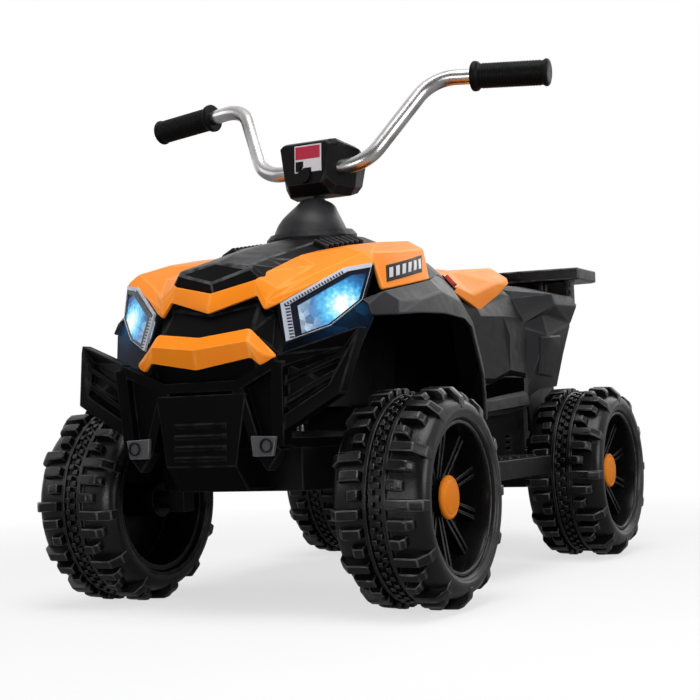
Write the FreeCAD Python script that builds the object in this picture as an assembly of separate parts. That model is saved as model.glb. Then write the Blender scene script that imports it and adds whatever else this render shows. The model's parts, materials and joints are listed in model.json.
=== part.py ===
import FreeCAD, Part
import math
import os

from FreeCAD import Vector

# Child's battery quad bike, in millimetres.
# +X is the rider's left, the nose points along -Y and +Z is up.
# The origin lies on the ground, under the middle of the bike.

# Overall layout
WHEEL_DIAMETER = 200.0
WHEELBASE = 468.0
TRACK = 326.0
FRONT_OVERHANG = 117.0
REAR_OVERHANG = 117.0
BODY_HALF_WIDTH = 150.0
BODY_HEIGHT = 250.0
HOOD_LENGTH = 240.0

# Walls, gaps and overruns that many pieces share
PANEL_WALL = 3.5
TUB_WALL = 4.0
FRAME_WALL = 4.0
CUT_OVERRUN = 5.0
RUNNING_GAP = 0.05
MOVING_GAP = 0.6
SEAT_GAP = 0.3

# Wheels
TYRE_WIDTH = 92.0
LUG_HEIGHT = 9.0
LUG_ROOT = 7.0
LUG_COUNT = 36
LUG_FILL_share = 0.62
RIM_RADIUS = 70.0
RIM_WIDTH = 80.0
RIM_WALL = 5.0
WEB_OFFSET = 2.0
WEB_THICKNESS = 4.0
HUB_RADIUS = 17.0
HUB_FACE = 26.0
SPOKE_COUNT = 10
SPOKE_WIDTH = 9.0
SPOKE_DISH = 8.0
CAP_RADIUS = 20.0
CAP_HEIGHT = 6.4
CAP_RIM = 2.5
AXLE_RADIUS = 5.0
NUT_ACROSS = 15.0
NUT_THICKNESS = 5.6
NUT_POCKET_RADIUS = 9.5
NUT_POCKET_DEPTH = 8.0
AXLE_STICK_OUT = 1.0

# Chassis tub and footboards
TUB_BOTTOM = 104.0
TUB_TOP = 188.0
TUB_HALF_WIDTH = 100.0
TUB_FRONT_HALF_WIDTH = 72.0
TUB_REAR_HALF_WIDTH = 90.0
TUB_FRONT_REACH = 84.0
TUB_SHOULDER_START = 139.0
TUB_SHOULDER_END = 164.0
TUB_STEP_LEAD = 38.0
TUB_TAIL_REACH = 46.0
TUB_TAIL_TOP = 204.0
TUB_STEP_HEIGHT = 24.0
TUB_FLANGE_REACH = 30.0
TUB_FLANGE_THICKNESS = 4.0
TUB_FLANGE_START = 104.0
TUB_FLANGE_STOP = 26.0
VENT_COUNT = 3
VENT_LENGTH = 16.0
VENT_HEIGHT = 3.0
VENT_PITCH = 7.0
VENT_LEAD = 60.0
VENT_DROP = 58.0
FOOTBOARD_WIDTH = 66.0
FOOTBOARD_THICKNESS = 20.0
FOOTBOARD_FRONT_GAP = 49.0
FOOTBOARD_REAR_GAP = 16.0
FOOTBOARD_CHAMFER = 14.0
FOOTBOARD_RIB_COUNT = 7
FOOTBOARD_RIB_WIDTH = 5.0
FOOTBOARD_RIB_HEIGHT = 2.0

# Axle beams and steering linkage
BEAM_HEIGHT = 40.0
BEAM_CLEARANCE = 10.0
BEAM_LEAD = 48.0
BEAM_TRAIL = 19.0
BEAM_WAIST = 68.0
BEAM_END = 12.0
BEAM_POST_HALF_WIDTH = 36.0
BEAM_POST_LEAD = 40.0
BEAM_POST_TRAIL = 14.0
KINGPIN_X = 100.0
KINGPIN_RADIUS = 5.0
KNUCKLE_HALF_WIDTH = 9.0
KNUCKLE_DROP = 12.0
STUB_SHOULDER_RADIUS = 9.0
STEER_ARM_LENGTH = 38.1
STEER_ARM_THICKNESS = 6.0
STEER_ARM_HALF_WIDTH = 8.0
LINK_PIN_RADIUS = 4.0
LINK_PIN_HEIGHT = 9.0
TIE_ROD_THICKNESS = 6.0
TIE_ROD_HALF_WIDTH = 7.0
CRANK_LENGTH = 41.0
CRANK_HOLE_GAP = 1.3
COLUMN_RADIUS = 6.0
COLUMN_LOW_Z = 90.0
COLUMN_BUSH_RADIUS = 11.0
COLUMN_BUSH_LENGTH = 14.0
COLUMN_BUSH_FLANGE_RADIUS = 14.0
COLUMN_BUSH_FLANGE = 3.0
COLUMN_HOLE_RADIUS = 9.0

# Rear drive
REAR_BEAM_HALF_WIDTH = 92.5
REAR_BEAM_LEAD = 18.0
REAR_BEAM_TRAIL = 14.0
REAR_BEAM_BOTTOM_DROP = 18.0
REAR_SPACER_RADIUS = 9.0
GEAR_MODULE = 1.0
GEAR_TEETH = 54
PINION_TEETH = 18
GEAR_PRESSURE_ANGLE = 20.0
GEAR_BACKLASH = 0.2
GEAR_THICKNESS = 9.0
GEAR_ADDENDUM_share = 1.0
GEAR_DEDENDUM_share = 1.25
GEAR_MESH_ANGLE = 20.0
GEAR_HUB_RADIUS = 11.0
GEARBOX_WALL = 2.5
GEARBOX_DEPTH = 20.0
GEARBOX_GEAR_ROOM = 1.0
MOTOR_RADIUS = 15.0
MOTOR_LENGTH = 52.0
MOTOR_CAP_RADIUS = 10.0
MOTOR_CAP_LENGTH = 6.0
MOTOR_SHAFT_RADIUS = 2.5
MOTOR_SHAFT_DEPTH = 40.0
BATTERY_LENGTH = 106.0
BATTERY_WIDTH = 70.0
BATTERY_HEIGHT = 100.0
BATTERY_LEAD_share = 0.56
BATTERY_TERMINAL_LENGTH = 12.0
BATTERY_TERMINAL_WIDTH = 5.0
BATTERY_TERMINAL_HEIGHT = 7.0

# Front inner frame
FRAME_HALF_WIDTH = 50.0
FRAME_BOTTOM = 186.0
FRAME_FRONT_share = 0.1667
FRAME_NOSE_TOP_share = 0.784
FRAME_TAIL_TOP_share = 1.088
FRAME_TAIL_share = 1.025

# Body panels, as shares of the body's half width, of a length and of its height
COWL_shares = [
    [(0.453, 0.996, 1.012), (0.707, 0.971, 1.0), (0.853, 0.917, 0.956), (0.973, 0.804, 0.824)],
    [(0.413, 0.754, 0.98), (0.7, 0.692, 0.972), (0.893, 0.629, 0.92), (0.98, 0.6, 0.792)],
    [(0.387, 0.529, 0.94), (0.667, 0.471, 0.936), (0.873, 0.417, 0.9), (0.96, 0.4, 0.76)],
    [(0.38, 0.512, 0.936), (0.653, 0.45, 0.928), (0.853, 0.396, 0.9), (0.927, 0.379, 0.864)],
    [(0.36, 0.421, 0.916), (0.547, 0.333, 0.864), (0.593, 0.279, 0.824), (0.627, 0.25, 0.792)],
    [(0.327, 0.212, 0.844), (0.427, 0.175, 0.772), (0.433, 0.167, 0.744), (0.44, 0.158, 0.716)],
    [(0.307, 0.167, 0.82), (0.393, 0.154, 0.752), (0.387, 0.142, 0.724), (0.373, 0.133, 0.696)],
    [(0.293, 0.158, 0.812), (0.3, 0.154, 0.792), (0.307, 0.15, 0.772), (0.313, 0.146, 0.752)],
    [(0, 0.125, 0.772), (0, 0.117, 0.748), (0, 0.108, 0.724), (0, 0.104, 0.696)],
]
HOOD_BLOCK_shares = [
    [(0, 0.15, 0.748), (0.26, 0.172, 0.79), (0.3, 0.182, 0.776)],
    [(0, 0.133, 0.808), (0.26, 0.154, 0.852), (0.31, 0.167, 0.82)],
    [(0, 0.171, 0.888), (0.26, 0.167, 0.868), (0.335, 0.185, 0.822)],
    [(0, 0.287, 0.928), (0.253, 0.287, 0.9), (0.385, 0.317, 0.856)],
    [(0, 0.463, 0.972), (0.267, 0.471, 0.948), (0.425, 0.45, 0.896)],
    [(0, 0.629, 1.008), (0.293, 0.637, 0.992), (0.46, 0.608, 0.932)],
    [(0, 0.838, 1.044), (0.307, 0.838, 1.028), (0.49, 0.838, 0.972)],
    [(0, 1.029, 1.08), (0.32, 1.029, 1.044), (0.52, 1.029, 0.99)],
]
NOSE_GRILLE_shares = [
    [(0, 0.09, 0.37), (0.36, 0.1, 0.37), (0.6, 0.145, 0.37)],
    [(0, 0.046, 0.504), (0.36, 0.071, 0.528), (0.54, 0.13, 0.51)],
    [(0, 0.054, 0.6), (0.32, 0.087, 0.616), (0.44, 0.121, 0.56)],
    [(0, 0.129, 0.688), (0.313, 0.163, 0.72), (0.413, 0.179, 0.688)],
    [(0, 0.146, 0.736), (0.313, 0.188, 0.792), (0.413, 0.204, 0.76)],
]
NOSE_TRIM_shares = [
    [(0, 0.037, 0.608), (0, 0, 0.56), (0, 0.013, 0.488)],
    [(0.333, 0.071, 0.632), (0.347, 0.033, 0.584), (0.36, 0.042, 0.524)],
    [(0.427, 0.079, 0.572), (0.433, 0.05, 0.536), (0.413, 0.046, 0.492)],
    [(0.493, 0.087, 0.532), (0.5, 0.071, 0.52), (0.473, 0.067, 0.504)],
]
FRONT_ARCH_shares = [
    [(0.88, 0.32, 0.724), (0.93, 0.31, 0.704), (0.955, 0.3, 0.664)],
    [(0.96, 0.404, 0.756), (1.027, 0.442, 0.72), (1.06, 0.412, 0.668)],
    [(0.98, 0.6, 0.788), (1.047, 0.617, 0.732), (1.067, 0.608, 0.68)],
    [(0.973, 0.804, 0.82), (1.02, 0.854, 0.776), (1.047, 0.846, 0.688)],
    [(0.84, 1.058, 0.864), (0.987, 1.087, 0.752), (1.013, 1.087, 0.68)],
]
LEG_SHIELD_shares = [
    [(0.70, 0.4464, 0.864), (0.953, 0.3972, 0.672), (0.993, 0.3633, 0.648)],
    [(0.70, 0.47, 0.708), (0.92, 0.4746, 0.488), (0.94, 0.4592, 0.444)],
    [(0.70, 0.5341, 0.272), (0.907, 0.4936, 0.272), (0.933, 0.47, 0.264)],
]
TANK_FRONT_shares = [
    [(0, 0.9867, 1.044), (0.307, 0.9867, 1.016), (0.44, 0.9867, 0.984),
     (0.667, 0.9633, 0.972), (0.8, 0.9165, 0.928), (0.92, 0.8288, 0.816)],
    [(0, 1.0959, 1.028), (0.307, 1.0959, 1.008), (0.48, 1.0959, 0.98),
     (0.653, 1.0881, 0.952), (0.773, 1.0706, 0.912), (0.853, 1.0589, 0.86)],
]
MAIN_BODY_shares = [
    [(0, 0.457, 0.904), (0.293, 0.457, 0.9), (0.493, 0.457, 0.892),
     (0.6, 0.457, 0.872), (0.653, 0.453, 0.864), (0.713, 0.447, 0.86)],
    [(0, 0.532, 0.888), (0.293, 0.532, 0.888), (0.56, 0.532, 0.872),
     (0.62, 0.532, 0.8), (0.64, 0.532, 0.736), (0.733, 0.534, 0.272)],
    [(0, 0.752, 0.896), (0.293, 0.752, 0.896), (0.56, 0.752, 0.88),
     (0.62, 0.752, 0.8), (0.733, 0.752, 0.704), (0.747, 0.752, 0.288)],
    [(0, 0.885, 0.912), (0.293, 0.885, 0.912), (0.533, 0.885, 0.904),
     (0.64, 0.885, 0.848), (0.753, 0.885, 0.72), (0.76, 0.885, 0.32)],
]
REAR_LEAD_shares = [
    [(0, 0.865, 0.896), (0.45, 0.865, 0.89), (0.6, 0.865, 0.836), (0.7, 0.865, 0.74),
     (0.716, 0.865, 0.7), (0.72, 0.865, 0.6), (0.722, 0.865, 0.34)],
    [(0, 0.9488, 0.92), (0.533, 0.9488, 0.912), (0.907, 0.953, 0.856), (0.94, 0.953, 0.804),
     (0.827, 0.953, 0.756), (0.86, 0.953, 0.656), (0.79, 0.953, 0.408)],
]
REAR_BODY_shares = [
    [(0, 0.239, 0.928), (0.533, 0.239, 0.92), (0.92, 0.43, 0.856), (0.945, 0.462, 0.812),
     (0.9, 0.4, 0.724), (0.87, 0.22, 0.56), (0.8, 0.24, 0.412)],
    [(0, 0.496, 0.904), (0.467, 0.53, 0.896), (0.747, 0.581, 0.848), (0.77, 0.598, 0.804),
     (0.72, 0.547, 0.724), (0.68, 0.47, 0.56), (0.627, 0.427, 0.412)],
]
REAR_WALL_BULGE_share = 0.03
SEAT_shares = [
    [(0, 0.462, 0.948), (0.267, 0.462, 0.948), (0.493, 0.47, 0.932),
     (0.647, 0.457, 0.876), (0.66, 0.457, 0.852)],
    [(0, 0.596, 0.936), (0.267, 0.596, 0.936), (0.507, 0.59, 0.94),
     (0.673, 0.596, 0.832), (0.687, 0.596, 0.78)],
    [(0, 0.639, 0.936), (0.267, 0.639, 0.94), (0.507, 0.632, 0.948),
     (0.673, 0.645, 0.844), (0.687, 0.641, 0.756)],
    [(0, 0.778, 0.948), (0.267, 0.778, 0.952), (0.493, 0.778, 0.976),
     (0.653, 0.788, 0.904), (0.673, 0.788, 0.848)],
    [(0, 0.895, 0.972), (0.267, 0.895, 0.976), (0.467, 0.889, 0.996),
     (0.62, 0.88, 0.936), (0.64, 0.876, 0.908)],
    [(0, 0.966, 0.98), (0.267, 0.962, 0.984), (0.413, 0.953, 0.98),
     (0.547, 0.927, 0.94), (0.567, 0.919, 0.916)],
]
BULKHEAD_ROW_COUNT = 1
SEAT_RAIL_X_share = 0.3
SEAT_RAIL_FROM_share = 0.53
SEAT_RAIL_TO_share = 0.86
SEAT_RAIL_WIDTH = 8.0
SEAT_RAIL_LOW_share = 0.87
SEAT_RAIL_HIGH_share = 1.0

# Headlights, on a plane that faces forward, outward and up
LAMP_shares = [
    (0.5, 0.129, 0.568),
    (0.44, 0.158, 0.716),
    (0.767, 0.317, 0.848),
    (0.927, 0.383, 0.864),
    (0.893, 0.321, 0.72),
    (0.733, 0.229, 0.624),
]
LAMP_LED_share = (0.78, 0.275, 0.704)
LAMP_DEPTH = 26.0
LAMP_WALL_share = 0.9
LAMP_BACK_WALL = 4.0
LENS_THICKNESS = 2.5
LENS_GAP_share = 0.985
LED_RADIUS = 11.0
LED_HEIGHT = 7.0
LED_BULB_RADIUS = 5.0

# Front bumper, whose bars run between places on the nose
BUMPER_TOP_share = (0.56, 0.013, 0.504)
BUMPER_OUTER_share = (0.96, 0.133, 0.58)
BUMPER_LOW_OUTER_share = (0.9, 0.05, 0.4)
BUMPER_LOW_INNER_share = (0.56, 0.033, 0.285)
BUMPER_PILLAR_share = (0.533, 0.033, 0.208)
BUMPER_TIP_share = (0.453, 0.033, 0.15)
BUMPER_CROSS_share = (0.267, 0.033, 0.428)
BUMPER_FOOT_share = (0.387, 0.033, 0.2)
BUMPER_BROW_share = (0.42, 0.1, 0.53)
BUMPER_SLAT_shares = [
    [(0.56, 0.03, 0.355), (0.93, 0.085, 0.47)],
    [(0.56, 0.03, 0.43), (0.945, 0.11, 0.53)],
]
BUMPER_BAR = 12.0
BUMPER_DEPTH = 15.0
BUMPER_FRAME_BAR = 9.0
BUMPER_SLAT_BAR = 5.0
BUMPER_PANEL_share = 0.6
BUMPER_ARM_HEIGHT = 12.0
BUMPER_ARM_WIDTH = 12.0
SKID_shares = [
    [(0, 0.029, 0.4), (0.32, 0.033, 0.4)],
    [(0, 0.021, 0.144), (0.25, 0.025, 0.144)],
    [(0, 0.1, 0.05), (0.25, 0.11, 0.05)],
    [(0, 0.29, 0.04), (0.25, 0.29, 0.04)],
]
SKID_SLAT_COUNT = 4
SKID_SLAT_TOP_share = 0.296
SKID_SLAT_PITCH = 9.8
SKID_SLAT_HEIGHT = 3.6
SKID_SLAT_DEPTH = 5.0
SKID_SLAT_HALF_WIDTH = 27.0

# Steering head
BOOT_LOW_share = 1.06
BOOT_BACK_share = 0.94194
BOOT_LOW_RADIUS = 37.0
BOOT_HIGH_RADIUS = 24.0
BOOT_HEIGHT = 32.0
BOOT_WALL = 3.0
BOOT_SKIRT = 30.0
CONSOLE_shares = [
    [(0.193, 0.892, 1.44), (0.16, 0.883, 1.268)],
    [(0.227, 0.946, 1.456), (0.2, 0.938, 1.224)],
    [(0.293, 1.054, 1.432), (0.253, 1.046, 1.224)],
    [(0.253, 1.171, 1.4), (0.22, 1.154, 1.25)],
]
CONSOLE_CHAMFER_share = 0.68
CONSOLE_SPLIT_share = 1.0
BAR_RADIUS = 8.0
BAR_CENTRE_Z_share = 1.336
BAR_CENTRE_Y_share = 0.971
BAR_ELBOW_X = 61.0
BAR_SHOULDER_X = 116.0
BAR_SHOULDER_Y_share = 1.19
BAR_SHOULDER_Z_share = 1.6976
BAR_END_X = 240.0
BAR_END_Y_share = 1.242
BAR_END_Z_share = 1.66
BAR_LOWER_BEND = 38.0
BAR_UPPER_BEND = 42.0
GRIP_LENGTH = 81.0
GRIP_RADIUS = 13.0
GRIP_FLANGE_RADIUS = 15.5
GRIP_FLANGE = 6.0
GRIP_END_RADIUS = 14.0
GRIP_END = 5.0
BUTTON_RADIUS = 7.0
BUTTON_PROUD = 3.5
BUTTON_DEPTH = 9.0
BUTTON_GAP = 0.4
BUTTON_TRAVEL = 2.5
BUTTON_Z_share = 1.3

# Rear rack
RACK_shares = [(0.5, 0.24), (1.0, 0.35), (1.0, 1.0)]
RACK_NOSE_share = 0.22
RACK_TOP_share = 1.0
RACK_THICKNESS = 15.0
RACK_END_CHAMFER = 8.0
RACK_SLOT_COUNT = 5
RACK_SLOT_LENGTH = 34.0
RACK_SLOT_WIDTH = 7.0
RACK_SLOT_PITCH = 46.0
RACK_RIB_shares = (0.12, 0.4, 0.66, 0.9)
RACK_RIB_WIDTH = 6.0
RACK_RIB_FROM_share = 0.36
RACK_RIB_TO_share = 0.5
RACK_RIB_SINK = 30.0

# Direction switch and foot pedal
SWITCH_share = (0.735, 0.4218, 0.846)
SWITCH_LENGTH = 26.0
SWITCH_WIDTH = 17.0
SWITCH_DEPTH = 14.0
SWITCH_PROUD = 2.0
SWITCH_FRAME_WALL = 2.0
ROCKER_PROUD = 4.0
ROCKER_GAP = 0.4
ROCKER_PIN_RADIUS = 1.5
PEDAL_LENGTH = 92.0
PEDAL_WIDTH = 46.0
PEDAL_THICKNESS = 6.0
PEDAL_LIFT = 9.0
PEDAL_INSET = 10.0
PEDAL_SETBACK = 60.0
PEDAL_EAR = 6.0
PEDAL_PIN_RADIUS = 3.0

# Screws that hold the seat and the footboards
SCREW_HEAD_RADIUS = 4.0
SCREW_HEAD_HEIGHT = 2.4
SCREW_shares = (0.42, 0.58, 0.72)

# Places worked out from the sizes above
AXLE_Z = WHEEL_DIAMETER / 2
NOSE_Y = -(FRONT_OVERHANG + WHEELBASE + REAR_OVERHANG) / 2
FRONT_AXLE_Y = NOSE_Y + FRONT_OVERHANG
REAR_AXLE_Y = FRONT_AXLE_Y + WHEELBASE
WHEEL_X = TRACK / 2
TREAD_RADIUS = WHEEL_DIAMETER / 2
CROWN_RADIUS = TREAD_RADIUS - LUG_HEIGHT
HUB_INNER = -RIM_WIDTH / 2
BEAM_BOTTOM = AXLE_Z + BEAM_CLEARANCE
BEAM_TOP = BEAM_BOTTOM + BEAM_HEIGHT
STEER_ARM_Z = BEAM_TOP + MOVING_GAP
TIE_ROD_Z = STEER_ARM_Z + STEER_ARM_THICKNESS + MOVING_GAP
TUB_STEP_Z = TUB_BOTTOM + TUB_STEP_HEIGHT
BOOT_Z = AXLE_Z + BOOT_LOW_share * BODY_HEIGHT
COLUMN_LEAN = NOSE_Y + BOOT_BACK_share * HOOD_LENGTH - FRONT_AXLE_Y
COLUMN_TILT_SLOPE = COLUMN_LEAN / (BOOT_Z - COLUMN_LOW_Z)
COLUMN_AXIS = Vector(0, COLUMN_TILT_SLOPE, 1).normalize()
BAR_CENTRE_Z = AXLE_Z + BAR_CENTRE_Z_share * BODY_HEIGHT
BAR_SHOULDER_Z = AXLE_Z + BAR_SHOULDER_Z_share * BODY_HEIGHT
BAR_END_Z = AXLE_Z + BAR_END_Z_share * BODY_HEIGHT
FRAME_FRONT_Y = NOSE_Y + FRAME_FRONT_share * HOOD_LENGTH
FRAME_TAIL_Y = NOSE_Y + FRAME_TAIL_share * HOOD_LENGTH
FRAME_NOSE_TOP = AXLE_Z + FRAME_NOSE_TOP_share * BODY_HEIGHT
FRAME_TAIL_TOP = AXLE_Z + FRAME_TAIL_TOP_share * BODY_HEIGHT
RACK_TOP = AXLE_Z + RACK_TOP_share * BODY_HEIGHT
GEAR_CENTRES = GEAR_MODULE * (GEAR_TEETH + PINION_TEETH) / 2
PINION_Y = REAR_AXLE_Y + GEAR_CENTRES * math.cos(math.radians(GEAR_MESH_ANGLE))
PINION_Z = AXLE_Z + GEAR_CENTRES * math.sin(math.radians(GEAR_MESH_ANGLE))
FOOTBOARD_TOP = TUB_BOTTOM + FOOTBOARD_THICKNESS

X_AXIS = Vector(1, 0, 0)
Y_AXIS = Vector(0, 1, 0)
Z_AXIS = Vector(0, 0, 1)


def front_place(share):
    """A place on the front bodywork: half width, hood length from the nose, body height."""
    y = NOSE_Y + share[1] * HOOD_LENGTH
    return Vector(share[0] * BODY_HALF_WIDTH, y, AXLE_Z + share[2] * BODY_HEIGHT)


def middle_place(share):
    """A place between the axles: half width, wheelbase from the front axle, body height."""
    y = FRONT_AXLE_Y + share[1] * WHEELBASE
    return Vector(share[0] * BODY_HALF_WIDTH, y, AXLE_Z + share[2] * BODY_HEIGHT)


def rear_place(share):
    """A place on the tail: half width, rear overhang from the rear axle, body height."""
    y = REAR_AXLE_Y + share[1] * REAR_OVERHANG
    return Vector(share[0] * BODY_HALF_WIDTH, y, AXLE_Z + share[2] * BODY_HEIGHT)


def column_place(z):
    """The point of the steering axis at a height."""
    return Vector(0, FRONT_AXLE_Y + (z - COLUMN_LOW_Z) * COLUMN_TILT_SLOPE, z)


def opposite(point):
    """The same point on the other side of the bike."""
    return Vector(-point.x, point.y, point.z)


def full_rows(place, half_rows):
    """Rows across the whole width, from half rows that start on the middle plane."""
    rows = []
    for half in half_rows:
        right = [place(share) for share in half]
        left = [opposite(point) for point in reversed(right[1:])]
        rows.append(left + right)
    return rows


def other_side(shape):
    """A copy of a shape on the other side of the bike."""
    return shape.mirror(Vector(0, 0, 0), X_AXIS)


def facet(points):
    """A flat face through a closed ring of points."""
    return Part.Face(Part.makePolygon(list(points) + [points[0]]))


def closed_solid(faces):
    """The solid inside a set of faces that close on each other."""
    solid = Part.makeSolid(Part.makeShell(faces))
    if solid.Volume < 0:
        solid.reverse()
    return solid.removeSplitter()


def main_solid(shape):
    """The largest solid of a shape that a cut may have left with loose chips."""
    return max(shape.Solids, key=lambda solid: solid.Volume)


def split_quad(quad):
    """Two triangles of a quad, folded so that the fold stands outward."""
    a, b, c, d = quad
    normal = (b - a).cross(c - a)
    if normal.dot(d - a) <= 0:
        return [(0, 1, 2), (0, 2, 3)]
    return [(0, 1, 3), (1, 2, 3)]


def vertex_normals(rows):
    """Outward directions at a grid's points, lengthened so that walls keep their thickness."""
    height, width = len(rows), len(rows[0])
    sums = [[[] for _ in range(width)] for _ in range(height)]
    for i in range(height - 1):
        for j in range(width - 1):
            ring = [(i, j), (i, j + 1), (i + 1, j + 1), (i + 1, j)]
            for first, second, third in split_quad([rows[r][c] for r, c in ring]):
                a, b, c = (rows[ring[k][0]][ring[k][1]] for k in (first, second, third))
                normal = (b - a).cross(c - a)
                for k in (first, second, third):
                    sums[ring[k][0]][ring[k][1]].append(Vector(normal).normalize())
    result = []
    for line in sums:
        directions = []
        for normals in line:
            total = Vector(0, 0, 0)
            for normal in normals:
                total += normal
            total.normalize()
            spread = sum(total.dot(normal) for normal in normals) / len(normals)
            directions.append(total / spread)
        result.append(directions)
    return result


def skin(rows, wall):
    """A moulded panel: a grid of points as its outer face, with a wall behind it."""
    normals = vertex_normals(rows)
    inner = [[p - n * wall for p, n in zip(line, ns)] for line, ns in zip(rows, normals)]
    height, width = len(rows), len(rows[0])
    faces = []
    for i in range(height - 1):
        for j in range(width - 1):
            ring = [(i, j), (i, j + 1), (i + 1, j + 1), (i + 1, j)]
            for triple in split_quad([rows[r][c] for r, c in ring]):
                cells = [ring[k] for k in triple]
                faces.append(facet([rows[r][c] for r, c in cells]))
                faces.append(facet([inner[r][c] for r, c in reversed(cells)]))
    rim = [(0, j) for j in range(width)] + [(i, width - 1) for i in range(1, height)]
    rim += [(height - 1, j) for j in range(width - 2, -1, -1)] + [(i, 0) for i in range(height - 2, 0, -1)]
    for (r0, c0), (r1, c1) in zip(rim, rim[1:] + rim[:1]):
        a, b, c, d = rows[r0][c0], rows[r1][c1], inner[r1][c1], inner[r0][c0]
        faces.append(facet([a, d, c]))
        faces.append(facet([a, c, b]))
    return closed_solid(faces)


def block(low, high):
    """A box between two opposite corners."""
    size = high - low
    return Part.makeBox(size.x, size.y, size.z, low)


def rod(start, end, radius):
    """A round rod between two points."""
    return Part.makeCylinder(radius, (end - start).Length, start, end - start)


def flat_prism(outline, z_low, z_high):
    """A plan outline of (x, y) pairs, raised between two heights."""
    face = facet([Vector(x, y, z_low) for x, y in outline])
    return face.extrude(Vector(0, 0, z_high - z_low))


def both_sides(half):
    """A closed plan outline from the half at +X, which starts and ends on the middle plane or off it."""
    return half + [(-x, y) for x, y in reversed(half)]


def ribbon(points, width, depth):
    """A flat bar with mitred corners through a chain of points, with its depth along the bike."""
    sections = []
    for index, point in enumerate(points):
        ahead = points[index + 1] - point if index + 1 < len(points) else point - points[index - 1]
        before = point - points[index - 1] if index else ahead
        first = Vector(-before.z, 0, before.x).normalize()
        second = Vector(-ahead.z, 0, ahead.x).normalize()
        offset = (first + second) * (width / 2 / (1 + first.dot(second)))
        front = [point + offset, point - offset]
        sections.append(front + [corner + Y_AXIS * depth for corner in reversed(front)])
    faces = [facet(sections[0]), facet(list(reversed(sections[-1])))]
    for near, far in zip(sections, sections[1:]):
        for k in range(len(near)):
            after = (k + 1) % len(near)
            faces.append(facet([near[k], far[k], far[after]]))
            faces.append(facet([near[k], far[after], near[after]]))
    return closed_solid(faces)


def ring_solid(profile):
    """A body turned about the X axis from (x, radius) pairs."""
    face = facet([Vector(x, 0, radius) for x, radius in profile])
    return face.revolve(Vector(0, 0, 0), X_AXIS, 360)


def fused(shapes):
    """One solid from shapes that overlap."""
    return main_solid(shapes[0].fuse(shapes[1:]).removeSplitter())


def trimmed(shape, others):
    """A shape cut back to the faces of its neighbours."""
    return main_solid(shape.cut(others))


def make_tyre():
    """Tyre with a twin-ridged centre band and long, middle and short lugs on both sides."""
    half = TYRE_WIDTH / 2
    bead = RIM_WIDTH / 2
    side_shares = [(0.96, 0.2), (1.0, 0.42), (0.95, 0.74), (0.74, 0.95), (0.17, 1.0)]
    band_shares = [(0.15, 0.72), (0.05, 0.72), (0.035, 0.4)]
    side = [(bead, RIM_RADIUS)]
    side += [(a * half, RIM_RADIUS + r * (CROWN_RADIUS - RIM_RADIUS)) for a, r in side_shares]
    side += [(a * half, CROWN_RADIUS + r * LUG_HEIGHT) for a, r in band_shares]
    carcass = ring_solid(side + [(-x, r) for x, r in reversed(side)])
    lug_shares = [
        [(0.2, 1.0), (0.76, 0.93), (0.97, -0.1), (1.01, -1.3), (0.92, -1.3), (0.8, -0.78)],
        [(0.2, 1.0), (0.68, 0.93), (0.78, 0.4), (0.78, -0.78)],
        [(0.2, 1.0), (0.5, 1.0), (0.58, 0.5), (0.58, -0.78)],
    ]
    pitch = 360 / LUG_COUNT
    pieces = [carcass]
    for side_sign, phase in ((1, 0), (-1, pitch / 2)):
        for index in range(LUG_COUNT):
            table = lug_shares[index % len(lug_shares)]
            profile = [(a * half, CROWN_RADIUS + r * LUG_HEIGHT) for a, r in table]
            profile.append((profile[0][0], CROWN_RADIUS - LUG_ROOT))
            face = facet([Vector(side_sign * x, 0, -r) for x, r in profile])
            lug = face.revolve(Vector(0, 0, 0), X_AXIS, pitch * LUG_FILL_share)
            lug.rotate(Vector(0, 0, 0), X_AXIS, phase + pitch * (index - LUG_FILL_share / 2))
            pieces.append(lug)
    return fused(pieces)


def make_rim():
    """Rim with a barrel, a closed web, raised spokes and a hub with a pocket for the axle nut."""
    inner = RIM_RADIUS - RIM_WALL
    lip = RIM_WIDTH / 2
    barrel = ring_solid([(-lip, inner), (-lip, RIM_RADIUS), (lip, RIM_RADIUS), (lip, inner)])
    web = rod(X_AXIS * WEB_OFFSET, X_AXIS * (WEB_OFFSET + WEB_THICKNESS), inner + RIM_WALL / 2)
    hub = rod(X_AXIS * HUB_INNER, X_AXIS * HUB_FACE, HUB_RADIUS)
    pieces = [barrel, web, hub]
    reach = inner + RIM_WALL / 2
    for index in range(SPOKE_COUNT):
        low, high = WEB_OFFSET, HUB_FACE - SPOKE_DISH
        ring = [Vector(low, 0, 0), Vector(high, 0, 0), Vector(high + SPOKE_DISH, 0, reach), Vector(low, 0, reach)]
        spoke = facet(ring).extrude(Y_AXIS * SPOKE_WIDTH)
        spoke.translate(Y_AXIS * (-SPOKE_WIDTH / 2))
        spoke.rotate(Vector(0, 0, 0), X_AXIS, 360 * index / SPOKE_COUNT)
        pieces.append(spoke)
    bore = rod(X_AXIS * (HUB_INNER - CUT_OVERRUN), X_AXIS * (HUB_FACE + CUT_OVERRUN), AXLE_RADIUS + RUNNING_GAP)
    pocket_floor = HUB_FACE - NUT_POCKET_DEPTH
    pocket = rod(X_AXIS * pocket_floor, X_AXIS * (HUB_FACE + CUT_OVERRUN), NUT_POCKET_RADIUS)
    return trimmed(fused(pieces), [bore, pocket])


def make_hub_cap():
    """Round cap with a low dome that snaps over the hub."""
    rise = CAP_HEIGHT - CAP_RIM
    dome_shares = [(1.0, 0), (0.94, 0.4), (0.8, 0.7), (0.55, 0.9), (0.28, 0.98), (0, 1.0)]
    profile = [(HUB_FACE, 0), (HUB_FACE, CAP_RADIUS)]
    profile += [(HUB_FACE + CAP_RIM + rise * height, CAP_RADIUS * reach) for reach, height in dome_shares]
    return ring_solid(profile)


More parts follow.
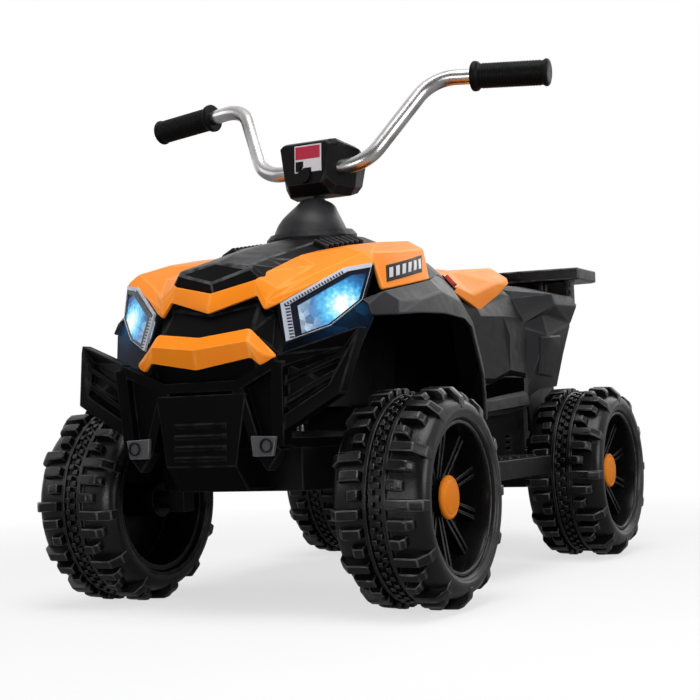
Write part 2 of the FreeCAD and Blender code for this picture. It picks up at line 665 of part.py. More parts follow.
def make_nut():
    """Hexagon nut on the axle's end, seated on the floor of the hub's pocket."""
    radius = NUT_ACROSS / math.sqrt(3)
    start = HUB_FACE - NUT_POCKET_DEPTH + SEAT_GAP
    corners = []
    for index in range(6):
        angle = math.radians(60 * index)
        corners.append(Vector(start, radius * math.cos(angle), radius * math.sin(angle)))
    nut = facet(corners).extrude(X_AXIS * NUT_THICKNESS)
    hole = rod(X_AXIS * (start - CUT_OVERRUN), X_AXIS * (start + NUT_THICKNESS + CUT_OVERRUN), AXLE_RADIUS)
    return nut.cut(hole)


def on_wheel(shape, side, axle_y):
    """A wheel piece moved to its place, with its face outward."""
    placed = shape.copy() if side > 0 else other_side(shape)
    placed.translate(Vector(side * WHEEL_X, axle_y, AXLE_Z))
    return placed


def axle_end():
    """How far from the wheel's middle plane an axle ends."""
    return HUB_FACE - NUT_POCKET_DEPTH + SEAT_GAP + NUT_THICKNESS + AXLE_STICK_OUT


def make_rear_axle():
    """Steel rod that carries both rear wheels."""
    reach = WHEEL_X + axle_end()
    return rod(Vector(-reach, REAR_AXLE_Y, AXLE_Z), Vector(reach, REAR_AXLE_Y, AXLE_Z), AXLE_RADIUS)


def tub_outline(inset):
    """Plan of the tub's low part, with its wall set in."""
    front = FRONT_AXLE_Y + TUB_FRONT_REACH + inset
    narrow = FRONT_AXLE_Y + TUB_SHOULDER_START
    wide = FRONT_AXLE_Y + TUB_SHOULDER_END
    rear = REAR_AXLE_Y - TUB_STEP_LEAD - inset
    half = [
        (TUB_FRONT_HALF_WIDTH - inset, front),
        (TUB_FRONT_HALF_WIDTH - inset, narrow),
        (TUB_HALF_WIDTH - inset, wide),
        (TUB_HALF_WIDTH - inset, rear),
    ]
    return both_sides(half)


def tub_tail_outline(inset):
    """Plan of the tub's raised tail over the rear axle."""
    front = REAR_AXLE_Y - TUB_STEP_LEAD - TUB_WALL - inset
    rear = REAR_AXLE_Y + TUB_TAIL_REACH - inset
    half = [(TUB_REAR_HALF_WIDTH - inset, front), (TUB_REAR_HALF_WIDTH - inset, rear)]
    return both_sides(half)


def make_tub(neighbours):
    """Floor tub with a raised tail, a rim flange under the body and slotted vents in its sides."""
    shell = flat_prism(tub_outline(0), TUB_BOTTOM, TUB_TOP)
    tail = flat_prism(tub_tail_outline(0), TUB_STEP_Z, TUB_TAIL_TOP)
    flange_x = TUB_HALF_WIDTH + TUB_FLANGE_REACH
    flange_front = FRONT_AXLE_Y + TUB_SHOULDER_END + TUB_FLANGE_START
    flange_rear = REAR_AXLE_Y - TUB_STEP_LEAD - TUB_FLANGE_STOP
    flange = block(
        Vector(-flange_x, flange_front, TUB_TOP - TUB_FLANGE_THICKNESS),
        Vector(flange_x, flange_rear, TUB_TOP),
    )
    whole = fused([shell, tail, flange])
    hollow = flat_prism(tub_outline(TUB_WALL), TUB_BOTTOM + TUB_WALL, TUB_TOP + CUT_OVERRUN)
    tail_hollow = flat_prism(tub_tail_outline(TUB_WALL), TUB_STEP_Z + TUB_WALL, TUB_TAIL_TOP + CUT_OVERRUN)
    cuts = [hollow, tail_hollow]
    for side in (-1, 1):
        for index in range(VENT_COUNT):
            z = TUB_TOP - VENT_DROP + index * VENT_PITCH
            y = REAR_AXLE_Y - TUB_STEP_LEAD - VENT_LEAD
            x = side * TUB_HALF_WIDTH
            low = Vector(x - CUT_OVERRUN, y, z)
            cuts.append(block(low, Vector(x + CUT_OVERRUN, y + VENT_LENGTH, z + VENT_HEIGHT)))
    return trimmed(whole, cuts + neighbours)


def make_footboard(side):
    """Foot plate beside the tub, with cross ribs for grip."""
    inner = TUB_HALF_WIDTH
    outer = TUB_HALF_WIDTH + FOOTBOARD_WIDTH
    front = FRONT_AXLE_Y + TREAD_RADIUS + FOOTBOARD_FRONT_GAP
    rear = REAR_AXLE_Y - TREAD_RADIUS - FOOTBOARD_REAR_GAP
    outline = [
        (inner, front + FOOTBOARD_CHAMFER),
        (inner, rear),
        (outer - FOOTBOARD_CHAMFER, rear),
        (outer, rear - FOOTBOARD_CHAMFER),
        (outer, front + FOOTBOARD_CHAMFER),
        (outer - FOOTBOARD_CHAMFER, front),
        (inner + FOOTBOARD_CHAMFER, front),
    ]
    pieces = [flat_prism(outline, TUB_BOTTOM, FOOTBOARD_TOP)]
    room = rear - front - FOOTBOARD_CHAMFER * 2
    pitch = room / FOOTBOARD_RIB_COUNT
    for index in range(FOOTBOARD_RIB_COUNT):
        y = front + FOOTBOARD_CHAMFER + pitch * (index + 1 / 2)
        low = Vector(inner + FOOTBOARD_CHAMFER, y - FOOTBOARD_RIB_WIDTH / 2, FOOTBOARD_TOP - FOOTBOARD_RIB_HEIGHT)
        high = Vector(outer - FOOTBOARD_CHAMFER, y + FOOTBOARD_RIB_WIDTH / 2, FOOTBOARD_TOP + FOOTBOARD_RIB_HEIGHT)
        pieces.append(block(low, high))
    plate = fused(pieces)
    return plate if side > 0 else other_side(plate)


def make_front_beam():
    """Front axle beam with a kingpin bore at each end and two posts up to the frame."""
    y = FRONT_AXLE_Y
    half = [
        (BEAM_WAIST, y - BEAM_LEAD),
        (KINGPIN_X + BEAM_END, y - BEAM_END),
        (KINGPIN_X + BEAM_END, y + BEAM_END),
        (BEAM_WAIST, y + BEAM_TRAIL),
    ]
    beam = flat_prism(both_sides(half), BEAM_BOTTOM, BEAM_TOP)
    post = block(
        Vector(-BEAM_POST_HALF_WIDTH, y - BEAM_POST_LEAD, BEAM_TOP - CUT_OVERRUN),
        Vector(BEAM_POST_HALF_WIDTH, y - BEAM_POST_TRAIL, FRAME_BOTTOM),
    )
    beam = fused([beam, post])
    holes = []
    for side in (-1, 1):
        centre = Vector(side * KINGPIN_X, y, BEAM_BOTTOM - CUT_OVERRUN)
        holes.append(rod(centre, centre + Z_AXIS * (BEAM_HEIGHT + CUT_OVERRUN * 2), KINGPIN_RADIUS + RUNNING_GAP))
    return trimmed(beam, holes)


def make_knuckle(side):
    """Steering knuckle: kingpin, stub axle and an arm that carries the tie rod's pin."""
    y = FRONT_AXLE_Y
    pivot = Vector(KINGPIN_X, y, 0)
    low = AXLE_Z - KNUCKLE_DROP
    boss_top = BEAM_BOTTOM - MOVING_GAP
    boss = block(
        Vector(KINGPIN_X - KNUCKLE_HALF_WIDTH, y - KNUCKLE_HALF_WIDTH, low),
        Vector(KINGPIN_X + KNUCKLE_HALF_WIDTH, y + KNUCKLE_HALF_WIDTH, boss_top),
    )
    arm_top = STEER_ARM_Z + STEER_ARM_THICKNESS
    kingpin = rod(pivot + Z_AXIS * AXLE_Z, pivot + Z_AXIS * arm_top, KINGPIN_RADIUS)
    hub_inner_x = WHEEL_X + HUB_INNER - SEAT_GAP
    shoulder = rod(Vector(KINGPIN_X, y, AXLE_Z), Vector(hub_inner_x, y, AXLE_Z), STUB_SHOULDER_RADIUS)
    stub = rod(Vector(KINGPIN_X, y, AXLE_Z), Vector(WHEEL_X + axle_end(), y, AXLE_Z), AXLE_RADIUS)
    arm = block(
        Vector(KINGPIN_X - STEER_ARM_HALF_WIDTH, y - STEER_ARM_HALF_WIDTH, STEER_ARM_Z),
        Vector(KINGPIN_X + STEER_ARM_HALF_WIDTH, y + STEER_ARM_LENGTH + STEER_ARM_HALF_WIDTH, arm_top),
    )
    pin_foot = Vector(KINGPIN_X, y + STEER_ARM_LENGTH, STEER_ARM_Z)
    pin = rod(pin_foot, pin_foot + Z_AXIS * (STEER_ARM_THICKNESS + LINK_PIN_HEIGHT), LINK_PIN_RADIUS)
    knuckle = fused([boss, kingpin, shoulder, stub, arm, pin])
    return knuckle if side > 0 else other_side(knuckle)


def crank_pin_place():
    """Where the steering column's crank pin meets the tie rod."""
    return column_place(TIE_ROD_Z + TIE_ROD_THICKNESS / 2) + Y_AXIS * CRANK_LENGTH


def make_tie_rod():
    """Flat tie rod between the knuckle pins, with a tab for the column's crank pin."""
    y = FRONT_AXLE_Y + STEER_ARM_LENGTH
    top = TIE_ROD_Z + TIE_ROD_THICKNESS
    strap = block(
        Vector(-KINGPIN_X, y - TIE_ROD_HALF_WIDTH, TIE_ROD_Z),
        Vector(KINGPIN_X, y + TIE_ROD_HALF_WIDTH, top),
    )
    crank = crank_pin_place()
    eye_radius = LINK_PIN_RADIUS + CRANK_HOLE_GAP + TIE_ROD_HALF_WIDTH / 2
    tab = block(Vector(-eye_radius, y, TIE_ROD_Z), Vector(eye_radius, crank.y, top))
    foot = Vector(0, crank.y, TIE_ROD_Z)
    pieces = [strap, tab, rod(foot, foot + Z_AXIS * TIE_ROD_THICKNESS, eye_radius)]
    reach = Z_AXIS * (TIE_ROD_THICKNESS + CUT_OVERRUN)
    holes = [rod(foot - Z_AXIS * CUT_OVERRUN, foot + reach, LINK_PIN_RADIUS + CRANK_HOLE_GAP)]
    for side in (-1, 1):
        end = Vector(side * KINGPIN_X, y, TIE_ROD_Z)
        pieces.append(rod(end, end + Z_AXIS * TIE_ROD_THICKNESS, TIE_ROD_HALF_WIDTH))
        holes.append(rod(end - Z_AXIS * CUT_OVERRUN, end + reach, LINK_PIN_RADIUS + RUNNING_GAP))
    return trimmed(fused(pieces), holes)


def make_column():
    """Steering rod on its tilted axis, with a crank and a pin at its foot."""
    crank = crank_pin_place()
    top_z = BAR_CENTRE_Z
    lift = Z_AXIS * (TIE_ROD_THICKNESS + MOVING_GAP + COLUMN_RADIUS)
    foot = column_place(crank.z + lift.z)
    rod_piece = rod(foot, column_place(top_z), COLUMN_RADIUS)
    arm_half = Vector(COLUMN_RADIUS, 0, COLUMN_RADIUS / 2)
    arm_end = crank + lift + Y_AXIS * COLUMN_RADIUS
    arm = block(foot - arm_half, arm_end + arm_half)
    pin_low = crank - Z_AXIS * (TIE_ROD_THICKNESS / 2)
    pin = rod(pin_low, crank + lift, LINK_PIN_RADIUS)
    return fused([rod_piece, arm, pin])


def column_hole(low_z, high_z, radius):
    """A round cut along the steering axis between two heights."""
    return rod(column_place(low_z), column_place(high_z), radius)


def bush_base_z():
    """Height on the steering axis where the column's bush starts."""
    return FRAME_BOTTOM - COLUMN_BUSH_FLANGE


def make_column_bush():
    """Flanged bush that guides the column through the frame's floor."""
    base = column_place(bush_base_z())
    flange = rod(base, base + COLUMN_AXIS * COLUMN_BUSH_FLANGE, COLUMN_BUSH_FLANGE_RADIUS)
    sleeve = rod(base, base + COLUMN_AXIS * COLUMN_BUSH_LENGTH, COLUMN_BUSH_RADIUS)
    bore = column_hole(BEAM_BOTTOM, TUB_TOP + COLUMN_BUSH_LENGTH, COLUMN_RADIUS + RUNNING_GAP)
    floor = block(
        Vector(-FRAME_HALF_WIDTH, NOSE_Y, FRAME_BOTTOM),
        Vector(FRAME_HALF_WIDTH, REAR_AXLE_Y, FRAME_BOTTOM + FRAME_WALL),
    )
    floor_ring = floor.cut(column_hole(BEAM_BOTTOM, TUB_TOP, COLUMN_BUSH_RADIUS))
    return trimmed(fused([flange, sleeve]), [bore, floor_ring])


def make_rear_beam():
    """Rear axle beam under the tub's tail, with a spacer towards the free wheel."""
    low = Vector(-REAR_BEAM_HALF_WIDTH, REAR_AXLE_Y - REAR_BEAM_LEAD, AXLE_Z - REAR_BEAM_BOTTOM_DROP)
    high = Vector(REAR_BEAM_HALF_WIDTH, REAR_AXLE_Y + REAR_BEAM_TRAIL, TUB_STEP_Z)
    hub_inner_x = WHEEL_X + HUB_INNER - SEAT_GAP
    spacer = rod(Vector(0, REAR_AXLE_Y, AXLE_Z), Vector(hub_inner_x, REAR_AXLE_Y, AXLE_Z), REAR_SPACER_RADIUS)
    reach = REAR_BEAM_HALF_WIDTH + WHEEL_X
    bore = rod(Vector(-reach, REAR_AXLE_Y, AXLE_Z), Vector(reach, REAR_AXLE_Y, AXLE_Z), AXLE_RADIUS + RUNNING_GAP)
    return trimmed(fused([block(low, high), spacer]), [bore])


def gear_outline(teeth):
    """Closed ring of points of an involute spur gear, with one tooth centred on angle 0."""
    pitch_radius = GEAR_MODULE * teeth / 2
    base_radius = pitch_radius * math.cos(math.radians(GEAR_PRESSURE_ANGLE))
    tip_radius = pitch_radius + GEAR_MODULE * GEAR_ADDENDUM_share
    root_radius = pitch_radius - GEAR_MODULE * GEAR_DEDENDUM_share
    steps = 6

    def involute(radius):
        ratio = max(1.0, radius / base_radius)
        slant = math.acos(1 / ratio)
        return math.tan(slant) - slant

    half_tooth = math.pi / (2 * teeth) - GEAR_BACKLASH / (2 * pitch_radius)
    start_radius = max(base_radius, root_radius)
    flank = [(root_radius, half_tooth + involute(pitch_radius))]
    for index in range(steps + 1):
        radius = start_radius + (tip_radius - start_radius) * index / steps
        flank.append((radius, half_tooth + involute(pitch_radius) - involute(radius)))
    points = []
    for tooth in range(teeth):
        middle = 2 * math.pi * tooth / teeth
        for radius, angle in flank:
            points.append((radius * math.cos(middle - angle), radius * math.sin(middle - angle)))
        for radius, angle in reversed(flank):
            points.append((radius * math.cos(middle + angle), radius * math.sin(middle + angle)))
    return points


def gear_solid(teeth, turn, x_low, y, z):
    """A spur gear about an axis along X."""
    face = facet([Vector(0, a, b) for a, b in gear_outline(teeth)])
    gear = face.extrude(X_AXIS * GEAR_THICKNESS)
    gear.rotate(Vector(0, 0, 0), X_AXIS, turn)
    gear.translate(Vector(x_low, y, z))
    return gear


def gear_plane():
    """The X at which both gears start, inside the gearbox."""
    return -(REAR_BEAM_HALF_WIDTH + GEARBOX_WALL + GEARBOX_GEAR_ROOM + GEAR_THICKNESS)


def make_drive_gear():
    """Gear that turns the right rear wheel, with a hub that reaches the wheel."""
    gear = gear_solid(GEAR_TEETH, GEAR_MESH_ANGLE, gear_plane(), REAR_AXLE_Y, AXLE_Z)
    hub_end = -(WHEEL_X + HUB_INNER)
    hub = rod(
        Vector(gear_plane() + GEAR_THICKNESS, REAR_AXLE_Y, AXLE_Z),
        Vector(hub_end, REAR_AXLE_Y, AXLE_Z),
        GEAR_HUB_RADIUS,
    )
    bore = rod(
        Vector(hub_end - CUT_OVERRUN, REAR_AXLE_Y, AXLE_Z),
        Vector(0, REAR_AXLE_Y, AXLE_Z),
        AXLE_RADIUS + RUNNING_GAP,
    )
    return trimmed(fused([gear, hub]), [bore])


def make_pinion():
    """Motor pinion with the rotor shaft that it sits on."""
    turn = GEAR_MESH_ANGLE + 180 + 180 / PINION_TEETH
    pinion = gear_solid(PINION_TEETH, turn, gear_plane(), PINION_Y, PINION_Z)
    shaft_end = -REAR_BEAM_HALF_WIDTH + MOTOR_SHAFT_DEPTH
    shaft = rod(
        Vector(gear_plane(), PINION_Y, PINION_Z), Vector(shaft_end, PINION_Y, PINION_Z), MOTOR_SHAFT_RADIUS
    )
    return fused([pinion, shaft])


def gearbox_form(x_low, x_high, gear_radius, pinion_radius):
    """A long rounded form round both gear axes."""
    gear_low = Vector(x_low, REAR_AXLE_Y, AXLE_Z)
    pinion_low = Vector(x_low, PINION_Y, PINION_Z)
    depth = X_AXIS * (x_high - x_low)
    along = Vector(pinion_low - gear_low).normalize()
    across = X_AXIS.cross(along)
    ring = [
        gear_low + across * gear_radius,
        gear_low - across * gear_radius,
        pinion_low - across * pinion_radius,
        pinion_low + across * pinion_radius,
    ]
    wedge = facet(ring).extrude(depth)
    gear_end = rod(gear_low, gear_low + depth, gear_radius)
    return fused([wedge, gear_end, rod(pinion_low, pinion_low + depth, pinion_radius)])


def make_gearbox():
    """Closed gearbox between the rear beam and the driven wheel."""
    tip = GEAR_MODULE * GEAR_ADDENDUM_share
    gear_room = GEAR_MODULE * GEAR_TEETH / 2 + tip + GEARBOX_GEAR_ROOM
    pinion_room = GEAR_MODULE * PINION_TEETH / 2 + tip + GEARBOX_GEAR_ROOM
    high = -REAR_BEAM_HALF_WIDTH
    low = high - GEARBOX_DEPTH
    shell = gearbox_form(low, high, gear_room + GEARBOX_WALL, pinion_room + GEARBOX_WALL)
    hollow = gearbox_form(low + GEARBOX_WALL, high - GEARBOX_WALL, gear_room, pinion_room)
    inner_hole = rod(
        Vector(low, REAR_AXLE_Y, AXLE_Z),
        Vector(high + CUT_OVERRUN, REAR_AXLE_Y, AXLE_Z),
        AXLE_RADIUS + RUNNING_GAP,
    )
    outer_hole = rod(
        Vector(low - CUT_OVERRUN, REAR_AXLE_Y, AXLE_Z),
        Vector(low + GEARBOX_WALL, REAR_AXLE_Y, AXLE_Z),
        GEAR_HUB_RADIUS + MOVING_GAP,
    )
    shaft_hole = rod(
        Vector(low + GEARBOX_WALL, PINION_Y, PINION_Z),
        Vector(high + CUT_OVERRUN, PINION_Y, PINION_Z),
        MOTOR_SHAFT_RADIUS + MOVING_GAP,
    )
    return trimmed(shell, [hollow, inner_hole, outer_hole, shaft_hole])


def make_motor():
    """Round drive motor against the gearbox, with a bore for its rotor shaft."""
    face = Vector(-REAR_BEAM_HALF_WIDTH, PINION_Y, PINION_Z)
    can = rod(face, face + X_AXIS * MOTOR_LENGTH, MOTOR_RADIUS)
    cap = rod(face, face + X_AXIS * (MOTOR_LENGTH + MOTOR_CAP_LENGTH), MOTOR_CAP_RADIUS)
    bore_end = face + X_AXIS * (MOTOR_SHAFT_DEPTH + CUT_OVERRUN)
    bore = rod(face - X_AXIS * CUT_OVERRUN, bore_end, MOTOR_SHAFT_RADIUS + RUNNING_GAP)
    return trimmed(fused([can, cap]), [bore])


def make_battery():
    """Sealed battery on the tub's floor, with two blade terminals."""
    y = FRONT_AXLE_Y + BATTERY_LEAD_share * WHEELBASE
    low = Vector(-BATTERY_WIDTH / 2, y, TUB_BOTTOM + TUB_WALL)
    high = low + Vector(BATTERY_WIDTH, BATTERY_LENGTH, BATTERY_HEIGHT)
    pieces = [block(low, high)]
    for side in (-1, 1):
        corner = Vector(side * BATTERY_WIDTH / 4, y + BATTERY_TERMINAL_LENGTH, high.z - CUT_OVERRUN)
        size = Vector(BATTERY_TERMINAL_WIDTH, BATTERY_TERMINAL_LENGTH, BATTERY_TERMINAL_HEIGHT + CUT_OVERRUN)
        pieces.append(block(corner, corner + size))
    return fused(pieces)


def make_front_frame(neighbours):
    """Box frame under the hood that carries the nose, the lamps and the steering column."""
    front, rear = FRAME_FRONT_Y, FRAME_TAIL_Y
    profile = [
        (front, FRAME_BOTTOM), (front, FRAME_NOSE_TOP),
        (rear, FRAME_TAIL_TOP), (rear, FRAME_BOTTOM),
    ]
    side = facet([Vector(-FRAME_HALF_WIDTH, y, z) for y, z in profile])
    shell = side.extrude(X_AXIS * FRAME_HALF_WIDTH * 2)
    rise = (FRAME_TAIL_TOP - FRAME_NOSE_TOP) / (rear - front)
    inner_front = front + FRAME_WALL
    inner_top = FRAME_NOSE_TOP + FRAME_WALL * rise + CUT_OVERRUN
    inner = [
        (inner_front, FRAME_BOTTOM + FRAME_WALL),
        (inner_front, inner_top),
        (rear + CUT_OVERRUN, FRAME_TAIL_TOP + CUT_OVERRUN * 2),
        (rear + CUT_OVERRUN, FRAME_BOTTOM + FRAME_WALL),
    ]
    inner_half = FRAME_HALF_WIDTH - FRAME_WALL
    hollow = facet([Vector(-inner_half, y, z) for y, z in inner]).extrude(X_AXIS * inner_half * 2)
    bush_seat = column_hole(BEAM_BOTTOM, TUB_TOP + COLUMN_BUSH_LENGTH, COLUMN_BUSH_RADIUS)
    return trimmed(shell, [hollow, bush_seat] + neighbours)


def make_cowl():
    """Bright front cowl: a V-shaped brow with spikes that runs back into both fenders."""
    right = [[front_place(share) for share in row] for row in COWL_shares]
    left = [[opposite(point) for point in row] for row in right[:-1]]
    return skin(left + list(reversed(right)), PANEL_WALL)


def make_hood_block(neighbours):
    """Raised dark centre of the hood, with a hole for the steering column."""
    panel = skin(full_rows(front_place, HOOD_BLOCK_shares), PANEL_WALL)
    hole = column_hole(FRAME_NOSE_TOP, BAR_CENTRE_Z, COLUMN_HOLE_RADIUS)
    return trimmed(panel, [hole] + neighbours)


def make_nose_grille(neighbours):
    """Recessed dark panel between the brow and the nose trim."""
    return trimmed(skin(full_rows(front_place, NOSE_GRILLE_shares), PANEL_WALL), neighbours)


def make_nose_trim():
    """Bright trim across the nose, creased along its middle."""
    right = [[front_place(share) for share in row] for row in NOSE_TRIM_shares]
    left = [[opposite(point) for point in row] for row in reversed(right[1:])]
    return skin(left + right, PANEL_WALL)


def make_front_arch(neighbours):
    """Left front wheel arch, from the lamp back and down to the leg shield."""
    rows = [[front_place(share) for share in row] for row in FRONT_ARCH_shares]
    rows += [[middle_place(share) for share in row] for row in LEG_SHIELD_shares]
    return trimmed(skin(rows, PANEL_WALL), neighbours)


def make_main_body(neighbours):
    """Middle body with its tank top, seat deck, side panels, a bulkhead and rails under the seat."""
    rows = full_rows(middle_place, MAIN_BODY_shares)
    bulkhead = rows[BULKHEAD_ROW_COUNT]
    ring = [Vector(point.x, bulkhead[0].y, point.z) for point in bulkhead]
    panels = skin(full_rows(front_place, TANK_FRONT_shares) + rows, PANEL_WALL)
    pieces = [panels, facet(ring).extrude(Y_AXIS * PANEL_WALL)]
    for side in (-1, 1):
        low = middle_place((side * SEAT_RAIL_X_share, SEAT_RAIL_FROM_share, SEAT_RAIL_LOW_share))
        high = middle_place((side * SEAT_RAIL_X_share, SEAT_RAIL_TO_share, SEAT_RAIL_HIGH_share))
        pieces.append(block(low - X_AXIS * (SEAT_RAIL_WIDTH / 2), high + X_AXIS * (SEAT_RAIL_WIDTH / 2)))
    return trimmed(fused(pieces), neighbours)


def make_rear_body(neighbours):
    """Rear body with a fender lip and a recess on each side and a closed back."""
    lead = full_rows(middle_place, REAR_LEAD_shares)
    sides = skin(lead + full_rows(rear_place, REAR_BODY_shares), PANEL_WALL)
    rows = []
    for x, y, z in REAR_BODY_shares[-1][1:]:
        middle = rear_place((0, y + REAR_WALL_BULGE_share, z))
        rows.append([rear_place((-x, y, z)), middle, rear_place((x, y, z))])
    back = skin(rows, PANEL_WALL)
    return trimmed(fused([sides, back]), neighbours)


def make_seat():
    """Moulded saddle with a raised tail and pointed side skirts."""
    return skin(full_rows(middle_place, SEAT_shares), PANEL_WALL)


def make_rack(neighbours):
    """Slotted rear rack plate on a wall and ribs that stand on the rear body."""
    nose = (0, REAR_AXLE_Y + RACK_NOSE_share * REAR_OVERHANG)
    bend, wing, tail = [(x * BODY_HALF_WIDTH, REAR_AXLE_Y + y * REAR_OVERHANG) for x, y in RACK_shares]
    half = [bend, wing, (tail[0], tail[1] - RACK_END_CHAMFER), (tail[0] - RACK_END_CHAMFER, tail[1])]
    bottom = RACK_TOP - RACK_THICKNESS
    pieces = [flat_prism([nose] + both_sides(half), bottom, RACK_TOP)]
    rib_front = REAR_AXLE_Y + RACK_RIB_FROM_share * REAR_OVERHANG
    rib_rear = REAR_AXLE_Y + RACK_RIB_TO_share * REAR_OVERHANG
    foot = bottom - RACK_RIB_SINK
    for share in RACK_RIB_shares:
        for side in (-1, 1):
            x = side * share * BODY_HALF_WIDTH
            low = Vector(x - RACK_RIB_WIDTH / 2, rib_front, foot)
            pieces.append(block(low, Vector(x + RACK_RIB_WIDTH / 2, rib_rear, bottom + RACK_RIB_WIDTH / 2)))
    reach = RACK_RIB_shares[-1] * BODY_HALF_WIDTH + RACK_RIB_WIDTH / 2
    wall_low = Vector(-reach, rib_rear - RACK_RIB_WIDTH, foot)
    pieces.append(block(wall_low, Vector(reach, rib_rear, bottom + RACK_RIB_WIDTH / 2)))
    slots = []
    for index in range(RACK_SLOT_COUNT):
        x = RACK_SLOT_PITCH * (index - (RACK_SLOT_COUNT - 1) / 2)
        y = (rib_rear + tail[1]) / 2
        low = Vector(x - RACK_SLOT_LENGTH / 2, y - RACK_SLOT_WIDTH / 2, bottom - CUT_OVERRUN)
        high = Vector(x + RACK_SLOT_LENGTH / 2, y + RACK_SLOT_WIDTH / 2, RACK_TOP + CUT_OVERRUN)
        slots.append(block(low, high))
    return trimmed(fused(pieces), slots + neighbours)


def lamp_frame():
    """The left lamp's corners on one plane, that plane's outward normal and the corners' centre."""
    corners = [front_place(share) for share in LAMP_shares]
    normal = (corners[0] - corners[1]).cross(corners[3] - corners[1]).normalize()
    if normal.y > 0:
        normal = normal * -1
    flat = [point - normal * normal.dot(point - corners[0]) for point in corners]
    centre = Vector(0, 0, 0)
    for point in flat:
        centre += point
    return flat, normal, centre / len(flat)


def lamp_prism(share, top, depth):
    """The lamp's outline, drawn in to a share, from a height over its plane down by a depth."""
    corners, normal, centre = lamp_frame()
    ring = [centre + (point - centre) * share + normal * top for point in corners]
    return facet(ring).extrude(normal * -depth)


def make_lamp_housing(neighbours):
    """Left lamp housing: a deep cup that its lens sits on."""
    shell = lamp_prism(1, -LENS_THICKNESS, LAMP_DEPTH - LENS_THICKNESS)
    hollow = lamp_prism(LAMP_WALL_share, CUT_OVERRUN, LAMP_DEPTH - LAMP_BACK_WALL + CUT_OVERRUN)
    return trimmed(shell, [hollow] + neighbours)


def make_lens(neighbours):
    """Left clear lens in its seat."""
    return trimmed(lamp_prism((1 + LAMP_WALL_share) / 2 * LENS_GAP_share, 0, LENS_THICKNESS), neighbours)


def make_led(neighbours):
    """Left lamp's reflector base with its round light source."""
    corners, normal, centre = lamp_frame()
    aim = front_place(LAMP_LED_share)
    aim = aim - normal * normal.dot(aim - corners[0])
    foot = aim - normal * (LAMP_DEPTH - LAMP_BACK_WALL)
    base = rod(foot, foot + normal * LED_HEIGHT, LED_RADIUS)
    bulb = Part.makeSphere(LED_BULB_RADIUS, foot + normal * LED_HEIGHT)
    return trimmed(fused([base, bulb]), neighbours)


def make_bumper(neighbours):
    """Front bumper: a centre frame, a slatted loop on each side, panels behind and arms to the frame."""
    top = front_place(BUMPER_TOP_share)
    outer = front_place(BUMPER_OUTER_share)
    low_outer = front_place(BUMPER_LOW_OUTER_share)
    low_inner = front_place(BUMPER_LOW_INNER_share)
    pillar = front_place(BUMPER_PILLAR_share)
    tip = front_place(BUMPER_TIP_share)
    cross = front_place(BUMPER_CROSS_share)
    foot = front_place(BUMPER_FOOT_share)
    brow = front_place(BUMPER_BROW_share)
    half = [
        ribbon([pillar, top], BUMPER_BAR, BUMPER_DEPTH),
        ribbon([top, outer, low_outer, low_inner], BUMPER_BAR, BUMPER_DEPTH),
        ribbon([top, cross], BUMPER_FRAME_BAR, BUMPER_DEPTH),
    ]
    for start, end in BUMPER_SLAT_shares:
        line = [front_place(start), front_place(end)]
        half.append(ribbon(line, BUMPER_SLAT_BAR, BUMPER_DEPTH * BUMPER_PANEL_share))
    panels = [
        skin([[low_inner, low_outer], [top, outer]], PANEL_WALL),
        skin([[foot, pillar], [cross, top]], PANEL_WALL),
    ]
    for panel in panels:
        panel.translate(Y_AXIS * (BUMPER_DEPTH * BUMPER_PANEL_share))
    centre = [pillar, tip, foot, cross]
    chain = centre + [opposite(point) for point in reversed(centre)]
    brow_panel = skin([[opposite(cross), cross], [opposite(brow), brow]], PANEL_WALL)
    brow_panel.translate(Y_AXIS * (BUMPER_DEPTH * BUMPER_PANEL_share))
    arm = block(
        Vector(cross.x - BUMPER_ARM_WIDTH / 2, cross.y, cross.z - BUMPER_ARM_HEIGHT),
        Vector(cross.x + BUMPER_ARM_WIDTH / 2, FRAME_FRONT_Y, cross.z),
    )
    half += panels + [arm]
    pieces = [ribbon(chain, BUMPER_FRAME_BAR, BUMPER_DEPTH), brow_panel] + half
    return trimmed(fused(pieces + [other_side(piece) for piece in half]), neighbours)


def make_skid_plate(neighbours):
    """Lower nose plate that turns under the beam, with cross slats on its face."""
    rows = full_rows(front_place, list(reversed(SKID_shares)))
    pieces = [skin(rows, PANEL_WALL)]
    top = front_place((0, SKID_shares[0][0][1], SKID_SLAT_TOP_share))
    for index in range(SKID_SLAT_COUNT):
        z = top.z - index * SKID_SLAT_PITCH
        low = Vector(-SKID_SLAT_HALF_WIDTH, top.y - PANEL_WALL, z - SKID_SLAT_HEIGHT)
        high = Vector(SKID_SLAT_HALF_WIDTH, top.y - PANEL_WALL + SKID_SLAT_DEPTH, z)
        pieces.append(block(low, high))
    return trimmed(fused(pieces), neighbours)


def make_boot(neighbours):
    """Hollow cone round the steering column, seated on the hood."""
    base = column_place(BOOT_Z)
    low = base - COLUMN_AXIS * BOOT_SKIRT
    outer = Part.makeCone(BOOT_LOW_RADIUS, BOOT_HIGH_RADIUS, BOOT_HEIGHT, base, COLUMN_AXIS)
    skirt = Part.makeCylinder(BOOT_LOW_RADIUS, BOOT_SKIRT, low, COLUMN_AXIS)
    hollow = Part.makeCone(
        BOOT_LOW_RADIUS - BOOT_WALL, COLUMN_HOLE_RADIUS, BOOT_HEIGHT - BOOT_WALL, base, COLUMN_AXIS
    )
    skirt_hollow = Part.makeCylinder(BOOT_LOW_RADIUS - BOOT_WALL, BOOT_SKIRT, low, COLUMN_AXIS)
    hole = column_hole(FRAME_BOTTOM, BAR_END_Z, COLUMN_HOLE_RADIUS)
    pieces = outer.fuse(skirt).cut([hollow, skirt_hollow, hole] + neighbours)
    return max(pieces.Solids, key=lambda solid: solid.BoundBox.ZMax)


